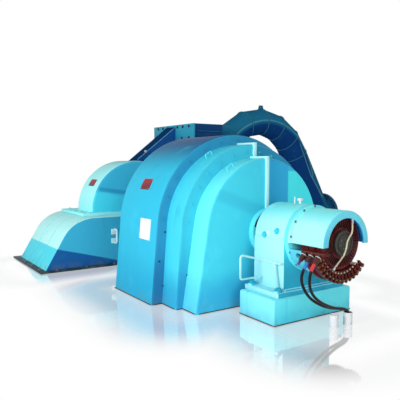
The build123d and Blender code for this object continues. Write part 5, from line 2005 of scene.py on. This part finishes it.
    def boots(self, fitter: Fitter) -> None:
        """Glossy boots over the three terminals, each in a pale collar, and the capped stub of the first."""
        top = roll(self.boot_top, -self.boot_top_rise - self.boot_top, 5)
        outline = [(self.boot_top - inset, y) for inset, y in top] + list(self.boot_side)
        ring = circle(self.collar_radius, 8, self.collar)
        rubber, collars = bmesh.new(), bmesh.new()
        for y in self.boot_y:
            for shape, profile in ((rubber, outline), (collars, ring)):
                first = len(shape.verts)
                lathe(shape, profile, 28, (0.0, 0.0))
                shape.verts.ensure_lookup_table()
                bmesh.ops.transform(shape, matrix=self.boot_place(y), verts=shape.verts[first:])
        settle("terminal_caps", rubber, Tone.BOOT, stands_for=["terminal_boots"],
               sharp=60.0)
        settle("terminal_collars", collars, Tone.WHITE)
        place = self.boot_place(self.boot_y[0])
        stub = [tuple(place @ Vector((0.0, along, 0.0))) for along in self.stub_stations]
        fitter.bead("spare_stub", [stub], self.stub_radius, Tone.SLEEVE_PURPLE, pitch=0.006, ripple=0.1,
                    slot=Slot.BLACK_CABLE)

    def build(self, fitter: Fitter) -> None:
        """Builds the collector end."""
        self.hood(fitter)
        self.drum(fitter)
        self.end_disc(fitter)
        self.brushes(fitter)
        self.boots(fitter)
        for node, name, tone, width, slot in (
                ("end_cover", "end_cover_ring", Tone.PLINTH_FRONT, 0.005, Slot.PAINT),
                ("brush_bracket", "brush_carrier", Tone.RIM, 0.004, Slot.PAINT),
                ("terminal_board", "terminal_bar", Tone.VARNISH, 0.003, Slot.DRUM),
                ("earth_lugs", "lead_lugs", Tone.STEEL, 0.0015, Slot.STEEL),
                ("conduits", "floor_conduits", Tone.WHITE, 0.0015, Slot.PLASTIC)):
            dress(node, name, tone, width)


@dataclass(frozen=True)
class Lamp:
    """A soft square lamp, with its width in metres and its power in watts."""

    name: str
    place: Point
    aim: Point
    width: float
    power: float

    def hang(self) -> None:
        """Adds the lamp, which gloss doesn't mirror."""
        data = bpy.data.lights.new(self.name, "AREA")
        data.shape = "RECTANGLE"
        data.size = data.size_y = self.width
        data.energy = self.power
        lamp = add_object(self.name, data)
        lamp.location = self.place
        lamp.rotation_euler = (Vector(self.aim) - Vector(self.place)).to_track_quat("-Z", "Y").to_euler()
        lamp.visible_glossy = False


@dataclass(frozen=True)
class Floor:
    """Pale floor that shows a soft shadow and a fading mirror image near the set."""

    footprints: tuple[tuple[Flat, Flat], ...] = (
        ((-1.19, -1.06), (1.19, 0.49)), ((-0.55, -2.34), (0.55, -1.06)), ((-1.65, 1.9), (1.2, 2.6)))
    half: float = 60.0
    colour: Colour = (0.93, 0.94, 0.95)
    cloud_colour: Colour = (0.96, 0.965, 0.97)
    clouds: Flat = (0.8, 2.0)
    mirror_rough: float = 0.05
    near: Flat = (1.1, 0.3)
    foot: Flat = (0.3, 0.0)
    mirror_share: float = 0.96
    foot_loss: float = 0.3
    near_share: float = 0.6

    def off_footprints(self, graph: Graph) -> Signal:
        """Distance on the floor from the nearest footprint of the set.

        Args:
            graph: the floor's tree.

        Returns:
            The distance in metres.
        """
        x, y, _ = graph.parts(graph.place())
        nearest = None
        for (x0, y0), (x1, y1) in self.footprints:
            over_x = (abs(x - (x0 + x1) / 2) - (x1 - x0) / 2).at_least(0.0)
            over_y = (abs(y - (y0 + y1) / 2) - (y1 - y0) / 2).at_least(0.0)
            away = over_x.across(over_y)
            nearest = away if nearest is None else nearest.at_most(away)
        return nearest

    def build(self) -> None:
        """Builds the floor: matt with a mirror near the set, and plain white to the eye farther off."""
        shape = bmesh.new()
        bmesh.ops.create_grid(shape, x_segments=1, y_segments=1, size=self.half)
        floor = add_object("floor", to_mesh("floor", shape, turned=False))
        graph = Graph(bpy.data.materials.new("floor_pale"))
        away = self.off_footprints(graph)
        near = away.ramp(*self.near)
        clouds = graph.noise(graph.place(), *self.clouds)
        matt = graph.node("ShaderNodeBsdfDiffuse", None,
                          {"Color": graph.blend(self.colour, self.cloud_colour, clouds)})
        mirror = graph.node("ShaderNodeBsdfGlossy", None,
                            {"Color": (1.0, 1.0, 1.0, 1.0), "Roughness": self.mirror_rough})
        gloss = graph.node("ShaderNodeMixShader", None, {
            0: near * (self.mirror_share - away.ramp(*self.foot) * self.foot_loss),
            1: matt.outputs[0], 2: mirror.outputs[0]})
        white = graph.node("ShaderNodeEmission", None, {"Strength": 1.0})
        seen = graph.signal("ShaderNodeLightPath", output="Is Camera Ray")
        graph.close(graph.node("ShaderNodeMixShader", None, {
            0: seen * (1.0 - near * self.near_share), 1: gloss.outputs[0], 2: white.outputs[0]}))
        floor.data.materials.append(graph.owner)


@dataclass
class Studio:
    """Floor, lamps, surroundings and camera."""

    eye: Point = (-3.824, -5.404, 1.6)
    turn: float = 33.77
    pitch: float = 4.286
    lens: float = 45.63
    sensor: float = 36.0
    sight: float = 200.0
    daylight: float = 0.3
    lamps: tuple[Lamp, ...] = (
        Lamp("lamp_key", (-9.5, -3.0, 3.4), (-0.5, 0.3, 0.8), 3.0, 575.0),
        Lamp("lamp_left", (-8.5, 5.0, 3.0), (-1.2, 2.3, 0.7), 3.0, 85.0),
        Lamp("lamp_front", (-3.0, -10.0, 2.6), (0.0, -1.5, 0.8), 4.0, 252.0),
        Lamp("lamp_right", (8.0, -2.0, 5.0), (1.0, 1.0, 1.0), 3.0, 90.0))

    def camera(self) -> None:
        """Camera at the photograph's viewing angle."""
        data = bpy.data.cameras.new("camera")
        data.lens = self.lens
        data.sensor_width = self.sensor
        data.clip_end = self.sight
        camera = add_object("camera", data)
        camera.location = self.eye
        camera.rotation_euler = (math.radians(90.0 - self.pitch), 0.0, math.radians(-self.turn))
        bpy.context.scene.camera = camera

    def world(self) -> None:
        """White surroundings for the eye and for gloss, a softer level for light."""
        bpy.context.scene.world = bpy.data.worlds.new("world")
        graph = Graph(bpy.context.scene.world)
        eye, gloss, glass = (graph.signal("ShaderNodeLightPath", output=f"Is {ray} Ray")
                             for ray in ("Camera", "Glossy", "Transmission"))
        level = graph.signal("ShaderNodeMapRange", None, {"Value": eye.at_least(gloss).at_least(glass),
                                                          "To Min": self.daylight, "To Max": 1.0})
        background = graph.node("ShaderNodeBackground", None,
                                {"Color": (1.0, 1.0, 1.0, 1.0), "Strength": level})
        graph.close(background, "ShaderNodeOutputWorld")

    def build(self) -> None:
        """Builds the studio."""
        self.camera()
        Floor().build()
        self.world()
        for lamp in self.lamps:
            lamp.hang()
        bpy.context.scene.view_settings.view_transform = "Standard"


def paint_carried() -> None:
    """Gives every CAD node that stays its finish."""
    for node, tone in (("oil_pipe", Tone.OIL_LINE), ("level_gauge", Tone.OIL_LINE), ("oil_cup", Tone.WHITE)):
        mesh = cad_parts[node].data
        mesh.materials.clear()
        mesh.materials.append(material(tone))


def main() -> None:
    """Builds the sub-assemblies in order."""
    logging.basicConfig(level=logging.INFO, format="%(message)s")
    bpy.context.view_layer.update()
    Studio().build()
    fitter = Fitter()
    Leads().build(fitter)
    paint_carried()
    GeneratorHood().build(fitter)
    Bearing(Side.FRONT).build(fitter)
    Bearing(Side.REAR).build(fitter)
    ShaftLine().build()
    CollectorEnd().build(fitter)
    TurbineCasing().build(fitter)
    Headworks().build(fitter)
    BranchPipe().build(fitter)
    fitter.clear()


if __name__ == "__main__":
    main()
